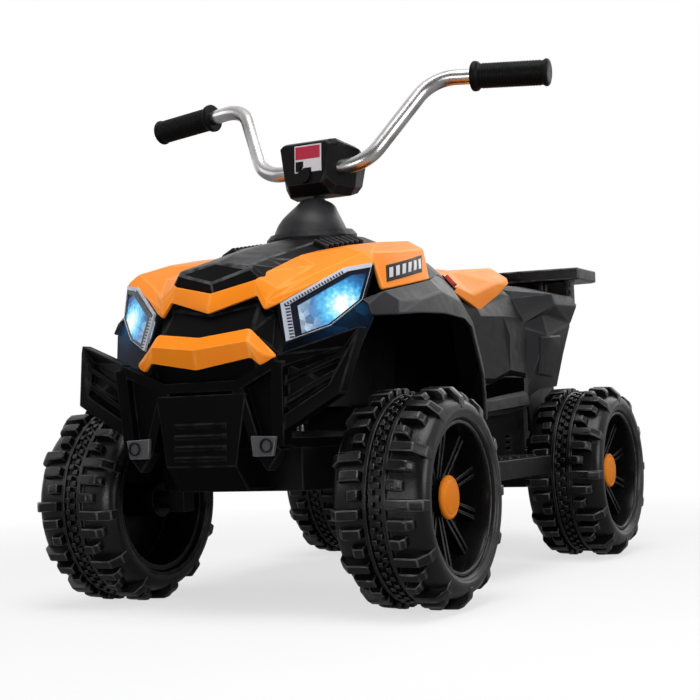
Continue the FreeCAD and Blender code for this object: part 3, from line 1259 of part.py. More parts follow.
def console_ring(pair):
    """One eight-sided section of the console, from its top and bottom corners."""
    top, low = (front_place(share) for share in pair)
    rise = top.z - low.z
    drop = rise * (1 - CONSOLE_CHAMFER_share) / 2
    inset = low.x * (1 - CONSOLE_CHAMFER_share) / 2
    lean = (top.y - low.y) / rise
    right = [
        (low.x - inset, low.z),
        (low.x, low.z + drop),
        (top.x, top.z - drop / 2),
        (top.x - inset, top.z),
    ]
    corners = [Vector(x, low.y + (z - low.z) * lean, z) for x, z in right]
    ring = corners + [opposite(point) for point in reversed(corners)]
    return Part.makePolygon(ring + [ring[0]])


def make_console():
    """Whole console form, before it is parted into a front and a back cover."""
    rings = [console_ring(pair) for pair in CONSOLE_shares]
    form = Part.makeLoft(rings, True, True)
    if form.Volume < 0:
        form.reverse()
    return form


def bar_points():
    """Corner points of the handlebar's centre line, from its middle to its left end."""
    middle = Vector(0, NOSE_Y + BAR_CENTRE_Y_share * HOOD_LENGTH, BAR_CENTRE_Z)
    elbow = middle + X_AXIS * BAR_ELBOW_X
    shoulder = Vector(BAR_SHOULDER_X, NOSE_Y + BAR_SHOULDER_Y_share * HOOD_LENGTH, BAR_SHOULDER_Z)
    end = Vector(BAR_END_X, NOSE_Y + BAR_END_Y_share * HOOD_LENGTH, BAR_END_Z)
    return [middle, elbow, shoulder, end]


def rounded_path(points, radii):
    """A wire of straight runs joined by tangent arcs, one radius for each inner point."""
    edges = []
    cursor = points[0]
    for before, corner, after, radius in zip(points, points[1:], points[2:], radii):
        back = Vector(before - corner).normalize()
        ahead = Vector(after - corner).normalize()
        half_angle = math.acos(max(-1.0, min(1.0, back.dot(ahead)))) / 2
        reach = radius / math.tan(half_angle)
        start = corner + back * reach
        end = corner + ahead * reach
        bisector = Vector(back + ahead).normalize()
        centre = corner + bisector * (radius / math.sin(half_angle))
        edges.append(Part.LineSegment(cursor, start).toShape())
        edges.append(Part.Arc(start, centre - bisector * radius, end).toShape())
        cursor = end
    edges.append(Part.LineSegment(cursor, points[-1]).toShape())
    return Part.Wire(edges)


def make_handlebar():
    """Bent chrome tube that rises and sweeps back to both grips."""
    half = bar_points()
    points = [opposite(point) for point in reversed(half[1:])] + half[1:]
    bends = [BAR_UPPER_BEND, BAR_LOWER_BEND, BAR_LOWER_BEND, BAR_UPPER_BEND]
    path = rounded_path(points, bends)
    start = points[0]
    profile = Part.Wire(Part.makeCircle(BAR_RADIUS, start, points[1] - start))
    tube = path.makePipeShell([profile], True, False)
    ends = []
    for tip, inward in ((points[0], points[1]), (points[-1], points[-2])):
        step = Vector(inward - tip).normalize() * GRIP_END
        ends.append(rod(tip - step, tip + step, BAR_RADIUS * 2))
    return trimmed(tube, ends)


def make_grip(side):
    """Ribbed rubber grip with an inner flange and a closed end."""
    end, shoulder = bar_points()[3], bar_points()[2]
    inward = Vector(shoulder - end).normalize()
    body = rod(end, end + inward * GRIP_LENGTH, GRIP_RADIUS)
    cap = rod(end, end + inward * GRIP_END, GRIP_END_RADIUS)
    flange_start = end + inward * (GRIP_LENGTH - GRIP_FLANGE)
    flange = rod(flange_start, end + inward * GRIP_LENGTH, GRIP_FLANGE_RADIUS)
    bore = rod(end + inward * GRIP_END, end + inward * (GRIP_LENGTH + CUT_OVERRUN), BAR_RADIUS + RUNNING_GAP)
    grip = trimmed(fused([body, cap, flange]), [bore])
    return grip if side > 0 else other_side(grip)


def button_axis():
    """Where the console's button sits on the front face, and the direction that it points."""
    face_top, face_low = (front_place(share) for share in CONSOLE_shares[0])
    slope = Vector(0, face_top.y - face_low.y, face_top.z - face_low.z)
    out = slope.cross(X_AXIS).normalize()
    if out.y > 0:
        out = out * -1
    z = AXLE_Z + BUTTON_Z_share * BODY_HEIGHT
    part = (z - face_low.z) / (face_top.z - face_low.z)
    return Vector(0, face_low.y + part * slope.y, z), out


def make_button():
    """Round horn button that slides into the console's face."""
    face, out = button_axis()
    return rod(face - out * BUTTON_DEPTH, face + out * BUTTON_PROUD, BUTTON_RADIUS)


def button_well():
    """Blind hole that the button slides in."""
    face, out = button_axis()
    floor = face - out * (BUTTON_DEPTH + BUTTON_TRAVEL + MOVING_GAP)
    return rod(floor, face + out * CUT_OVERRUN, BUTTON_RADIUS + BUTTON_GAP)


def switch_frame_axes():
    """The direction switch's centre on the leg shield, with its along, across and outward directions."""
    centre = middle_place(SWITCH_share)
    upper_front, crease_front = (front_place(share) for share in FRONT_ARCH_shares[-1][:2])
    upper_rear = middle_place(LEG_SHIELD_shares[0][0])
    along = Vector(upper_rear - upper_front).normalize()
    out = (crease_front - upper_front).cross(along).normalize()
    across = out.cross(along)
    centre = centre - out * out.dot(centre - upper_front)
    return centre, along, across, out


def switch_box(length, width, low, high):
    """A box on the switch's own axes, between two heights over the panel."""
    centre, along, across, out = switch_frame_axes()
    a, b = along * (length / 2), across * (width / 2)
    ring = [centre - a - b, centre + a - b, centre + a + b, centre - a + b]
    return facet([point + out * low for point in ring]).extrude(out * (high - low))


def rocker_pin(extra):
    """The rocker's hinge pin, across the switch."""
    centre, along, across, out = switch_frame_axes()
    reach = across * (SWITCH_WIDTH / 2 - SWITCH_FRAME_WALL / 2 + extra)
    return rod(centre - reach, centre + reach, ROCKER_PIN_RADIUS + extra)


def make_switch_frame():
    """Frame of the direction switch, let into the leg shield."""
    shell = switch_box(SWITCH_LENGTH, SWITCH_WIDTH, -SWITCH_DEPTH, SWITCH_PROUD)
    hollow = switch_box(
        SWITCH_LENGTH - SWITCH_FRAME_WALL * 2, SWITCH_WIDTH - SWITCH_FRAME_WALL * 2,
        -SWITCH_DEPTH + SWITCH_FRAME_WALL, SWITCH_PROUD + CUT_OVERRUN,
    )
    return trimmed(shell, [hollow, rocker_pin(RUNNING_GAP)])


def make_rocker():
    """Rounded rocker that tips about its pin to choose forward or reverse."""
    centre, along, across, out = switch_frame_axes()
    length = SWITCH_LENGTH - SWITCH_FRAME_WALL * 2 - ROCKER_GAP * 2
    width = SWITCH_WIDTH - SWITCH_FRAME_WALL * 2 - ROCKER_GAP * 2
    radius = length / 2
    top = SWITCH_PROUD + ROCKER_PROUD
    drum = rod(centre - across * (width / 2), centre + across * (width / 2), radius)
    keep = switch_box(length * 2, width, -SWITCH_PROUD, top)
    return fused([drum.common(keep), rocker_pin(0)])


def pedal_hinge():
    """Centre of the pedal's hinge pin, on the right footboard."""
    x = -(TUB_HALF_WIDTH + FOOTBOARD_CHAMFER + PEDAL_INSET + PEDAL_WIDTH / 2 - PEDAL_INSET)
    rear = REAR_AXLE_Y - TREAD_RADIUS - FOOTBOARD_REAR_GAP
    z = FOOTBOARD_TOP + FOOTBOARD_RIB_HEIGHT + PEDAL_LIFT
    return Vector(x, rear - PEDAL_SETBACK, z)


def make_pedal():
    """Foot pedal plate that hinges at its heel, tipped up at its toe."""
    hinge = pedal_hinge()
    half = PEDAL_WIDTH / 2
    tip_rise = PEDAL_LIFT * 2
    profile = [
        Vector(hinge.x - half, hinge.y + PEDAL_THICKNESS / 2, hinge.z + PEDAL_THICKNESS / 2),
        Vector(hinge.x - half, hinge.y + PEDAL_THICKNESS / 2, hinge.z - PEDAL_THICKNESS / 2),
        Vector(hinge.x - half, hinge.y - PEDAL_LENGTH, hinge.z - PEDAL_THICKNESS / 2 + tip_rise),
        Vector(hinge.x - half, hinge.y - PEDAL_LENGTH, hinge.z + PEDAL_THICKNESS / 2 + tip_rise),
    ]
    plate = facet(profile).extrude(X_AXIS * PEDAL_WIDTH)
    reach = X_AXIS * (half + PEDAL_EAR)
    return fused([plate, rod(hinge - reach, hinge + reach, PEDAL_PIN_RADIUS)])


def pedal_ears():
    """Two ears on the footboard that carry the pedal's pin."""
    hinge = pedal_hinge()
    ears = []
    for side in (-1, 1):
        inner = hinge.x + side * (PEDAL_WIDTH / 2 + MOVING_GAP)
        outer = hinge.x + side * (PEDAL_WIDTH / 2 + PEDAL_EAR)
        low = Vector(min(inner, outer), hinge.y - PEDAL_EAR, FOOTBOARD_TOP - CUT_OVERRUN)
        high = Vector(max(inner, outer), hinge.y + PEDAL_EAR, hinge.z + PEDAL_EAR)
        ears.append(block(low, high))
    return ears


def make_pedal_footboard():
    """Right footboard with the ears that carry the pedal."""
    hinge = pedal_hinge()
    reach = X_AXIS * (PEDAL_WIDTH / 2 + PEDAL_EAR + CUT_OVERRUN)
    hole = rod(hinge - reach, hinge + reach, PEDAL_PIN_RADIUS + RUNNING_GAP)
    return trimmed(fused([make_footboard(-1)] + pedal_ears()), [hole])


def make_screws():
    """Screw heads on the undersides of both footboards, along the tub."""
    heads = []
    x = TUB_HALF_WIDTH + FOOTBOARD_CHAMFER
    for side in (-1, 1):
        for share in SCREW_shares:
            top = Vector(side * x, FRONT_AXLE_Y + share * WHEELBASE, TUB_BOTTOM)
            heads.append(rod(top - Z_AXIS * SCREW_HEAD_HEIGHT, top, SCREW_HEAD_RADIUS))
    return Part.makeCompound(heads)


def build_body(parts):
    """Body panels, each cut back to the neighbours that it meets."""
    cowl = make_cowl()
    trim = make_nose_trim()
    seat = make_seat()
    hood = make_hood_block([cowl])
    grille = make_nose_grille([cowl, trim, hood])
    main = make_main_body([cowl, hood, seat])
    switch = make_switch_frame()
    switch_room = switch_box(SWITCH_LENGTH, SWITCH_WIDTH, -SWITCH_DEPTH, SWITCH_PROUD + CUT_OVERRUN)
    main = trimmed(main, [switch_room])
    frame = make_front_frame([hood, cowl, grille, main])
    housing = make_lamp_housing([cowl, grille, trim, frame])
    arch = make_front_arch([cowl, housing, main, switch_room])
    arch_right = trimmed(other_side(make_front_arch([cowl, housing, main])), [main])
    rear = make_rear_body([main, seat])
    lens = make_lens([cowl, grille])
    led = make_led([housing])
    skid = make_skid_plate([make_front_beam()])
    lamps = [housing, other_side(housing), lens, other_side(lens)]
    bumper = make_bumper([trim, grille, skid] + lamps + [arch, arch_right])
    parts["front_cowl"] = cowl
    parts["nose_trim"] = trim
    parts["seat"] = seat
    parts["hood_block"] = hood
    parts["nose_grille"] = grille
    parts["main_body"] = main
    parts["rear_body"] = rear
    parts["front_frame"] = frame
    parts["headlight_housing_left"] = housing
    parts["headlight_housing_right"] = other_side(housing)
    parts["headlight_lens_left"] = lens
    parts["headlight_lens_right"] = other_side(lens)
    parts["headlight_leds"] = Part.makeCompound([led, other_side(led)])
    parts["front_arch_left"] = arch
    parts["front_arch_right"] = arch_right
    parts["skid_plate"] = skid
    parts["bumper_frame"] = bumper
    parts["switch_frame"] = switch
    parts["rocker_switch"] = make_rocker()
    parts["rear_rack"] = make_rack([rear, seat, main])
    parts["steering_boot"] = make_boot([hood, main, cowl])


def build_chassis(parts):
    """Tub, beams, drive and battery."""
    main, rear = parts["main_body"], parts["rear_body"]
    parts["chassis_tub"] = make_tub([main, rear, parts["front_frame"]])
    parts["footboard_left"] = make_footboard(1)
    parts["footboard_right"] = make_pedal_footboard()
    parts["foot_pedal"] = make_pedal()
    parts["front_axle_beam"] = make_front_beam()
    parts["rear_axle_beam"] = make_rear_beam()
    parts["rear_axle"] = make_rear_axle()
    parts["drive_gear"] = make_drive_gear()
    parts["motor_pinion"] = make_pinion()
    parts["gearbox_case"] = make_gearbox()
    parts["drive_motor"] = make_motor()
    parts["battery"] = make_battery()
    parts["body_screws"] = make_screws()
    nut = make_nut()
    parts["axle_nuts_rear"] = Part.makeCompound([on_wheel(nut, side, REAR_AXLE_Y) for side in (-1, 1)])
    parts["axle_nut_left"] = on_wheel(nut, 1, FRONT_AXLE_Y)
    parts["axle_nut_right"] = on_wheel(nut, -1, FRONT_AXLE_Y)


def build_steering(parts):
    """Column, console, handlebar, grips and the linkage to the front wheels."""
    column = make_column()
    handlebar = make_handlebar()
    console = make_console()
    split = NOSE_Y + CONSOLE_SPLIT_share * HOOD_LENGTH
    half_room = Vector(BAR_END_X, 0, BAR_END_Z)
    front_half = block(Vector(-half_room.x, NOSE_Y, 0), Vector(half_room.x, split, BAR_END_Z))
    solid_room = [column, handlebar, button_well()]
    parts["console_front"] = trimmed(console.common(front_half), solid_room)
    parts["console_back"] = trimmed(console.cut(front_half), solid_room)
    parts["steering_column"] = trimmed(column, [handlebar])
    parts["handlebar"] = handlebar
    parts["grip_left"] = make_grip(1)
    parts["grip_right"] = make_grip(-1)
    parts["horn_button"] = make_button()
    parts["column_bush"] = make_column_bush()
    parts["knuckle_left"] = make_knuckle(1)
    parts["knuckle_right"] = make_knuckle(-1)
    parts["tie_rod"] = make_tie_rod()


def build_wheels(parts):
    """Four wheels, each a tyre, a rim and a hub cap."""
    tyre, rim, cap = make_tyre(), make_rim(), make_hub_cap()
    for end, axle_y in (("front", FRONT_AXLE_Y), ("rear", REAR_AXLE_Y)):
        for hand, side in (("left", 1), ("right", -1)):
            parts["tyre_%s_%s" % (end, hand)] = on_wheel(tyre, side, axle_y)
            parts["rim_%s_%s" % (end, hand)] = on_wheel(rim, side, axle_y)
            parts["hub_cap_%s_%s" % (end, hand)] = on_wheel(cap, side, axle_y)


def main():
    """Builds every piece and writes one STEP file for each."""
    os.makedirs("parts", exist_ok=True)
    parts = {}
    build_body(parts)
    build_chassis(parts)
    build_steering(parts)
    build_wheels(parts)
    for name in sorted(parts):
        shape = parts[name]
        shape.exportStep("parts/%s.step" % name)
        facts = (name, len(shape.Solids), shape.Volume, shape.isValid())
        print("%-26s solids %d  volume %.0f mm3  valid %s" % facts)


main()
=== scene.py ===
"""Child's battery quad bike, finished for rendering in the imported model's own frame.

Sizes are in metres. +X is the rider's left, the nose points along -Y and +Z is up.
"""
import json
import logging
import math
from dataclasses import dataclass
from enum import Enum
from typing import Optional, Protocol, Sequence

import bmesh
import bpy
from mathutils import Matrix, Vector
from mathutils.bvhtree import BVHTree

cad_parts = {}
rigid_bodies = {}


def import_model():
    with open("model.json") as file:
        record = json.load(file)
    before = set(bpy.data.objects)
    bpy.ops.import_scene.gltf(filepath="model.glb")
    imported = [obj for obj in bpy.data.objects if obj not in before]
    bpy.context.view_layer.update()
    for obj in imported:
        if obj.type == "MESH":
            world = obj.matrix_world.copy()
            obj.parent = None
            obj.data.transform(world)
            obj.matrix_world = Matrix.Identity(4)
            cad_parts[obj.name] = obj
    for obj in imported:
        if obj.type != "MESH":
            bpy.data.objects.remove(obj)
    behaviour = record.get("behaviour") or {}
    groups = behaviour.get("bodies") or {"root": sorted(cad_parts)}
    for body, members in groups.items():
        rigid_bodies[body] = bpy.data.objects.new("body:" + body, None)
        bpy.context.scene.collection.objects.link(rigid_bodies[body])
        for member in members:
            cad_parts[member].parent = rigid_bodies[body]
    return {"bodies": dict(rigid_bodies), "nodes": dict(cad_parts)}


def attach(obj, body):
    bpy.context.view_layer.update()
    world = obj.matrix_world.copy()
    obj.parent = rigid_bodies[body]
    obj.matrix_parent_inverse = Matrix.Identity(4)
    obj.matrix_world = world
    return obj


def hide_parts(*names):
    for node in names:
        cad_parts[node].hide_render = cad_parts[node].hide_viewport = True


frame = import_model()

log = logging.getLogger("quad_bike")

Colour = tuple[float, float, float, float]
Point = tuple[float, float, float]
Flat = tuple[float, float]
BarCorner = tuple[float, float, float, float]
Form = bmesh.types.BMesh
Mesh = bpy.types.Mesh
Socket = bpy.types.NodeSocket
Thing = bpy.types.Object

# Faces of the rounded edges, which the plastics make paler, partly as wear and partly as a painted highlight.
EDGE_NAME = "rounded_edge"
BEND_NAME = "bend_radius"
WELD_DISTANCE = 2e-5
CUT_DISTANCE = 1e-7
FULL_TURN = 2 * math.pi
QUARTER_TURN = math.pi / 2
UNIT_SPAN = (0.0, 1.0)
NOISE_SPAN = (0.3, 0.7)


class Side(Enum):
    """A side of the bike, with the sign of its X."""

    LEFT = 1
    RIGHT = -1

    @property
    def word(self) -> str:
        """The side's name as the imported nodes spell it."""
        return self.name.lower()


class End(Enum):
    """An end of the bike, with the Y of its axle."""

    FRONT = -0.234
    REAR = 0.234

    @property
    def word(self) -> str:
        """The end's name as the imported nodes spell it."""
        return self.name.lower()


class Facing(Enum):
    """The way that a plate is laid on a panel: from a side, from the front or from above."""

    SIDE = "side"
    FRONT = "front"
    TOP = "top"


def srgb(red: int, green: int, blue: int) -> Colour:
    """Turns a picture colour of 0 to 255 into the linear colour of a shader.

    Args:
        red: Red part.
        green: Green part.
        blue: Blue part.

    Returns:
        Linear red, green, blue and an alpha of 1.
    """
    parts = []
    for part in (red, green, blue):
        share = part / 255
        parts.append(share / 12.92 if share <= 0.04045 else ((share + 0.055) / 1.055) ** 2.4)
    return (parts[0], parts[1], parts[2], 1.0)


class NodeGraph:
    """A node tree under construction."""

    def __init__(self, tree: bpy.types.NodeTree) -> None:
        """Empties the tree.

        Args:
            tree: The tree to fill.
        """
        tree.nodes.clear()
        self.tree = tree

    def add(self, kind: str, inputs: Optional[dict] = None, **settings: object) -> bpy.types.Node:
        """Adds a node, sets its options, and sets or links its inputs.

        Args:
            kind: Blender's name of the node type.
            inputs: Input name or number to a constant or to the socket that feeds it.
            **settings: Options of the node.

        Returns:
            The new node.
        """
        node = self.tree.nodes.new(kind)
        for key, value in settings.items():
            setattr(node, key, value)
        for key, value in (inputs or {}).items():
            if isinstance(value, Socket):
                self.tree.links.new(value, node.inputs[key])
            else:
                node.inputs[key].default_value = value
        return node

    def place(self) -> Socket:
        """The point on the piece, in metres."""
        return self.add("ShaderNodeTexCoord").outputs["Object"]

    def noise(self, place: Socket, size: float, detail: float) -> Socket:
        """Cloudy noise.

        Args:
            place: The point to read it at.
            size: Width of a cloud in metres.
            detail: How many finer layers are added.

        Returns:
            A value around 0.5.
        """
        inputs = {"Vector": place, "Scale": 1 / size, "Detail": detail}
        return self.add("ShaderNodeTexNoise", inputs).outputs["Fac"]

    def remap(self, value: Socket, span: Flat, result: Flat) -> Socket:
        """Stretches a value from one span to another, and holds it there.

        Args:
            value: The value.
            span: Lowest and highest value that is told apart.
            result: What these two become.

        Returns:
            The new value.
        """
        inputs = {
            "Value": value, "From Min": span[0], "From Max": span[1],
            "To Min": result[0], "To Max": result[1],
        }
        return self.add("ShaderNodeMapRange", inputs).outputs["Result"]

    def math(self, operation: str, first: object, second: object) -> Socket:
        """One sum of two values.

        Args:
            operation: Blender's name of the sum.
            first: A number or a socket.
            second: A number or a socket.

        Returns:
            The result.
        """
        return self.add("ShaderNodeMath", {0: first, 1: second}, operation=operation).outputs[0]

    def blend(self, share: Socket, first: object, second: object) -> Socket:
        """A colour between two others.

        Args:
            share: 0 for the first colour, 1 for the second.
            first: A colour or a socket.
            second: A colour or a socket.

        Returns:
            The mixed colour.
        """
        return self.add("ShaderNodeMix", {0: share, 6: first, 7: second}, data_type="RGBA").outputs[2]

    def bump(self, height: Socket, depth: float, strength: float = 1.0) -> Socket:
        """A surface normal that follows a height.

        Args:
            height: The height, 0 to 1.
            depth: The relief in metres.
            strength: Share of the effect.

        Returns:
            The normal.
        """
        inputs = {"Height": height, "Distance": depth, "Strength": strength}
        return self.add("ShaderNodeBump", inputs).outputs["Normal"]

    def surface(self, **inputs: object) -> None:
        """Ends the tree in a principled shader.

        Args:
            **inputs: Shader input to constant or socket, with _ for each space.
        """
        named = {key.replace("_", " "): value for key, value in inputs.items()}
        shader = self.add("ShaderNodeBsdfPrincipled", named)
        self.add("ShaderNodeOutputMaterial", {"Surface": shader.outputs[0]})


def fresh_graph(name: str) -> tuple[bpy.types.Material, NodeGraph]:
    """A new material and its empty tree.

    Args:
        name: The material's name.

    Returns:
        The material and its tree, ready to be filled.
    """
    material = bpy.data.materials.new(name)
    material.use_nodes = True
    return material, NodeGraph(material.node_tree)


class Finish(Protocol):
    """Anything that gives a piece its material."""

    name: str
    slot: str

    def build(self) -> bpy.types.Material:
        """Makes the material."""


def material_of(finish: Finish) -> bpy.types.Material:
    """The finish's material, made the first time it is asked for."""
    return bpy.data.materials.get(finish.name) or finish.build()


@dataclass(frozen=True)
class MouldedPlastic:
    """Moulded plastic with a fine grain, a cloudy tint, and paler rounded edges that are partly wear and
    partly a painted highlight.
    """

    name: str
    slot: str
    colour: Colour
    shade: Colour
    rubbed: Colour
    roughness: Flat
    specular: float = 0.5
    wear: float = 0.6
    least_wear: float = 0.1
    cloud_size: float = 0.06
    cloud_detail: float = 3.0
    rub_size: float = 0.012
    rub_detail: float = 6.0
    rub_span: Flat = (0.36, 0.66)
    grain_size: float = 0.0011
    grain_detail: float = 2.0
    grain_depth: float = 0.00006

    def build(self) -> bpy.types.Material:
        """Makes the material.

        Returns:
            A material with a tint, a roughness and a grain from its nodes.
        """
        material, graph = fresh_graph(self.name)
        place = graph.place()
        clouds = graph.noise(place, self.cloud_size, self.cloud_detail)
        patches = graph.noise(place, self.rub_size, self.rub_detail)
        grain = graph.noise(place, self.grain_size, self.grain_detail)
        edge = graph.add("ShaderNodeAttribute", attribute_name=EDGE_NAME).outputs["Fac"]
        # Rounded edges are made paler in noisy patches: partly wear, partly a painted highlight along the
        # edges.
        wear_and_highlight_mask = graph.math("MULTIPLY", edge, graph.remap(patches, self.rub_span, (self.least_wear, self.wear)))
        tinted = graph.blend(graph.remap(clouds, NOISE_SPAN, UNIT_SPAN), self.shade, self.colour)
        graph.surface(
            Base_Color=graph.blend(wear_and_highlight_mask, tinted, self.rubbed),
            Roughness=graph.remap(patches, NOISE_SPAN, self.roughness),
            Normal=graph.bump(grain, self.grain_depth),
            Specular_IOR_Level=self.specular,
        )
        return material


@dataclass(frozen=True)
class Metal:
    """Bright or plain metal with faint, duller clouds and fine scratches."""

    name: str
    slot: str
    colour: Colour
    dull: Colour
    roughness: Flat
    scratch_size: float = 0.0016
    scratch_detail: float = 3.0
    scratch_depth: float = 0.000012
    cloud_size: float = 0.03
    cloud_detail: float = 4.0
    dull_span: Flat = (0.35, 0.75)
    rough_span: Flat = (0.3, 0.75)

    def build(self) -> bpy.types.Material:
        """Makes the material.

        Returns:
            A metal whose roughness and tint vary from its nodes.
        """
        material, graph = fresh_graph(self.name)
        place = graph.place()
        clouds = graph.noise(place, self.cloud_size, self.cloud_detail)
        scratches = graph.noise(place, self.scratch_size, self.scratch_detail)
        dulled = graph.remap(clouds, self.dull_span, UNIT_SPAN)
        graph.surface(
            Base_Color=graph.blend(dulled, self.colour, self.dull),
            Metallic=1.0,
            Roughness=graph.remap(clouds, self.rough_span, self.roughness),
            Normal=graph.bump(scratches, self.scratch_depth),
        )
        return material


@dataclass(frozen=True)
class GlowSpot:
    """Where a lamp shines and how its light fades with distance, alike on both sides of the bike."""

    centre: Point
    reach: float
    rag_share: float
    stops: Sequence[tuple[float, Colour]]
    streak_size: float = 0.004
    streak_detail: float = 3.0

    def fade(self, graph: NodeGraph) -> Socket:
        """How far a point lies from the spot.

        Args:
            graph: The tree of the material.

        Returns:
            0 at the spot and 1 at the end of its reach, with a ragged edge.
        """
        folded = graph.add("ShaderNodeVectorMath", {0: graph.place()}, operation="ABSOLUTE").outputs[0]
        ends = {0: folded, 1: tuple(abs(part) for part in self.centre)}
        distance = graph.add("ShaderNodeVectorMath", ends, operation="DISTANCE").outputs["Value"]
        streaks = graph.noise(folded, self.streak_size, self.streak_detail)
        rag = self.rag_share * self.reach
        ragged = graph.math("ADD", distance, graph.remap(streaks, NOISE_SPAN, (-rag, rag)))
        return graph.remap(ragged, (0.0, self.reach), UNIT_SPAN)

    def colour(self, graph: NodeGraph) -> Socket:
        """The light's colour at each point.

        Args:
            graph: The tree of the material.

        Returns:
            The colour.
        """
        ramp = graph.add("ShaderNodeValToRGB", {"Fac": self.fade(graph)})
        elements = ramp.color_ramp.elements
        elements[0].position, elements[0].color = self.stops[0]
        elements[1].position, elements[1].color = self.stops[-1]
        for position, colour in self.stops[1:-1]:
            elements.new(position).color = colour
        return ramp.outputs["Color"]


@dataclass(frozen=True)
class LitLens:
    """Clear lens that is see-through at its edges and shines round its lamp."""

    name: str
    slot: str
    tint: Colour
    spot: GlowSpot
    strength: float
    clear: Flat = (0.97, 0.18)
    clear_span: Flat = (0.2, 0.9)
    cut_size: float = 0.006
    cut_depth: float = 0.0008
    cut_share: float = 0.4
    smear_size: float = 0.02
    smear_detail: float = 3.0
    roughness: Flat = (0.03, 0.12)

    def build(self) -> bpy.types.Material:
        """Makes the material.

        Returns:
            A see-through material with a cut relief and a lit middle.
        """
        material, graph = fresh_graph(self.name)
        place = graph.place()
        cuts = graph.add("ShaderNodeTexVoronoi", {"Vector": place, "Scale": 1 / self.cut_size})
        smears = graph.noise(place, self.smear_size, self.smear_detail)
        graph.surface(
            Base_Color=self.tint,
            Roughness=graph.remap(smears, NOISE_SPAN, self.roughness),
            Normal=graph.bump(cuts.outputs["Distance"], self.cut_depth, self.cut_share),
            Alpha=graph.remap(self.spot.fade(graph), self.clear_span, self.clear),
            Emission_Color=self.spot.colour(graph),
            Emission_Strength=self.strength,
        )
        return material


@dataclass(frozen=True)
class LampCrystal:
    """Lamp surface of small bright cut facets that shines from a lit point."""

    name: str
    slot: str
    base: Colour
    spot: GlowSpot
    strength: float
    metallic: float = 0.4
    specular: float = 0.5
    dim: Colour = srgb(8, 20, 44)
    facet_size: float = 0.0075
    facet_depth: float = 0.001
    facet_share: float = 0.5
    facet_span: Flat = (0.2, 0.8)
    sparkle: Flat = (0.25, 1.0)
    roughness: Flat = (0.08, 0.3)

    def build(self) -> bpy.types.Material:
        """Makes the material.

        Returns:
            A material of bright and dim facets that shines most near its lit point.
        """
        material, graph = fresh_graph(self.name)
        place = graph.place()
        facets = graph.add("ShaderNodeTexVoronoi", {"Vector": place, "Scale": 1 / self.facet_size})
        grey = graph.add("ShaderNodeRGBToBW", {"Color": facets.outputs["Color"]}).outputs[0]
        sparkle = graph.remap(grey, self.facet_span, self.sparkle)
        graph.surface(
            Base_Color=self.base,
            Metallic=self.metallic,
            Roughness=graph.remap(grey, self.facet_span, self.roughness),
            Normal=graph.bump(facets.outputs["Distance"], self.facet_depth, self.facet_share),
            Specular_IOR_Level=self.specular,
            Emission_Color=graph.blend(sparkle, self.dim, self.spot.colour(graph)),
            Emission_Strength=self.strength,
        )
        return material


WHITE = srgb(255, 255, 255)
LED_PLACE = (0.117, -0.285, 0.276)
LED_HALO = GlowSpot(LED_PLACE, reach=0.044, rag_share=0.1, stops=(
    (0.0, WHITE), (0.13, WHITE), (0.24, srgb(178, 242, 255)), (0.36, srgb(96, 205, 246)),
    (0.54, srgb(34, 128, 196)), (0.76, srgb(12, 54, 102)), (1.0, srgb(0, 2, 8)),
))
LED_SPREAD = GlowSpot((0.095, -0.301, 0.264), reach=0.062, rag_share=0.16, stops=(
    (0.0, srgb(226, 240, 250)), (0.4, srgb(176, 206, 226)), (0.66, srgb(78, 122, 160)),
    (1.0, srgb(10, 24, 52)),
))
# Painted glow of lamp light on the dark cheek under the lens.
PAINTED_LED_SPILL = GlowSpot(LED_PLACE, reach=0.052, rag_share=0.04, stops=(
    (0.0, srgb(90, 190, 240)), (0.3, srgb(48, 128, 190)), (0.6, srgb(14, 52, 96)), (1.0, srgb(0, 0, 0)),
))

ORANGE = MouldedPlastic(
    "orange_gloss_plastic", "orange_plastic", srgb(245, 140, 30), srgb(239, 131, 21), srgb(252, 176, 92),
    roughness=(0.34, 0.46), specular=0.1, wear=0.4, grain_depth=0.00002,
)
BLACK = MouldedPlastic(
    "black_satin_plastic", "black_plastic", srgb(14, 14, 15), srgb(9, 9, 10), srgb(56, 56, 59),
    roughness=(0.34, 0.48), specular=0.09, wear=0.5,
)
# The hood's plastic: its darker colour paints the shade of the hood front, and its wide pale rounded edges
# paint a rim highlight.
GLOSS = MouldedPlastic(
    "black_gloss_plastic", "black_plastic", srgb(9, 9, 10), srgb(6, 6, 7), srgb(96, 96, 99),
    roughness=(0.3, 0.42), specular=0.09, wear=0.8,
)
# The rack's plastic, darker than BLACK, with wide pale rounded edges that paint the highlight along its top
# edge and end.
RACK = MouldedPlastic(
    "rack_gloss_plastic", "black_plastic", srgb(10, 10, 11), srgb(7, 7, 8), srgb(96, 96, 99),
    roughness=(0.26, 0.38), specular=0.2, wear=0.8,
)
# A darker copy of black plastic for the front-facing nose parts: its darker colour paints the shade that they
# sit in.
DEEP = MouldedPlastic(
    "deep_black_plastic", "black_plastic", srgb(7, 7, 8), srgb(5, 5, 6), srgb(44, 44, 46),
    roughness=(0.36, 0.5), specular=0.03, wear=0.7,
)
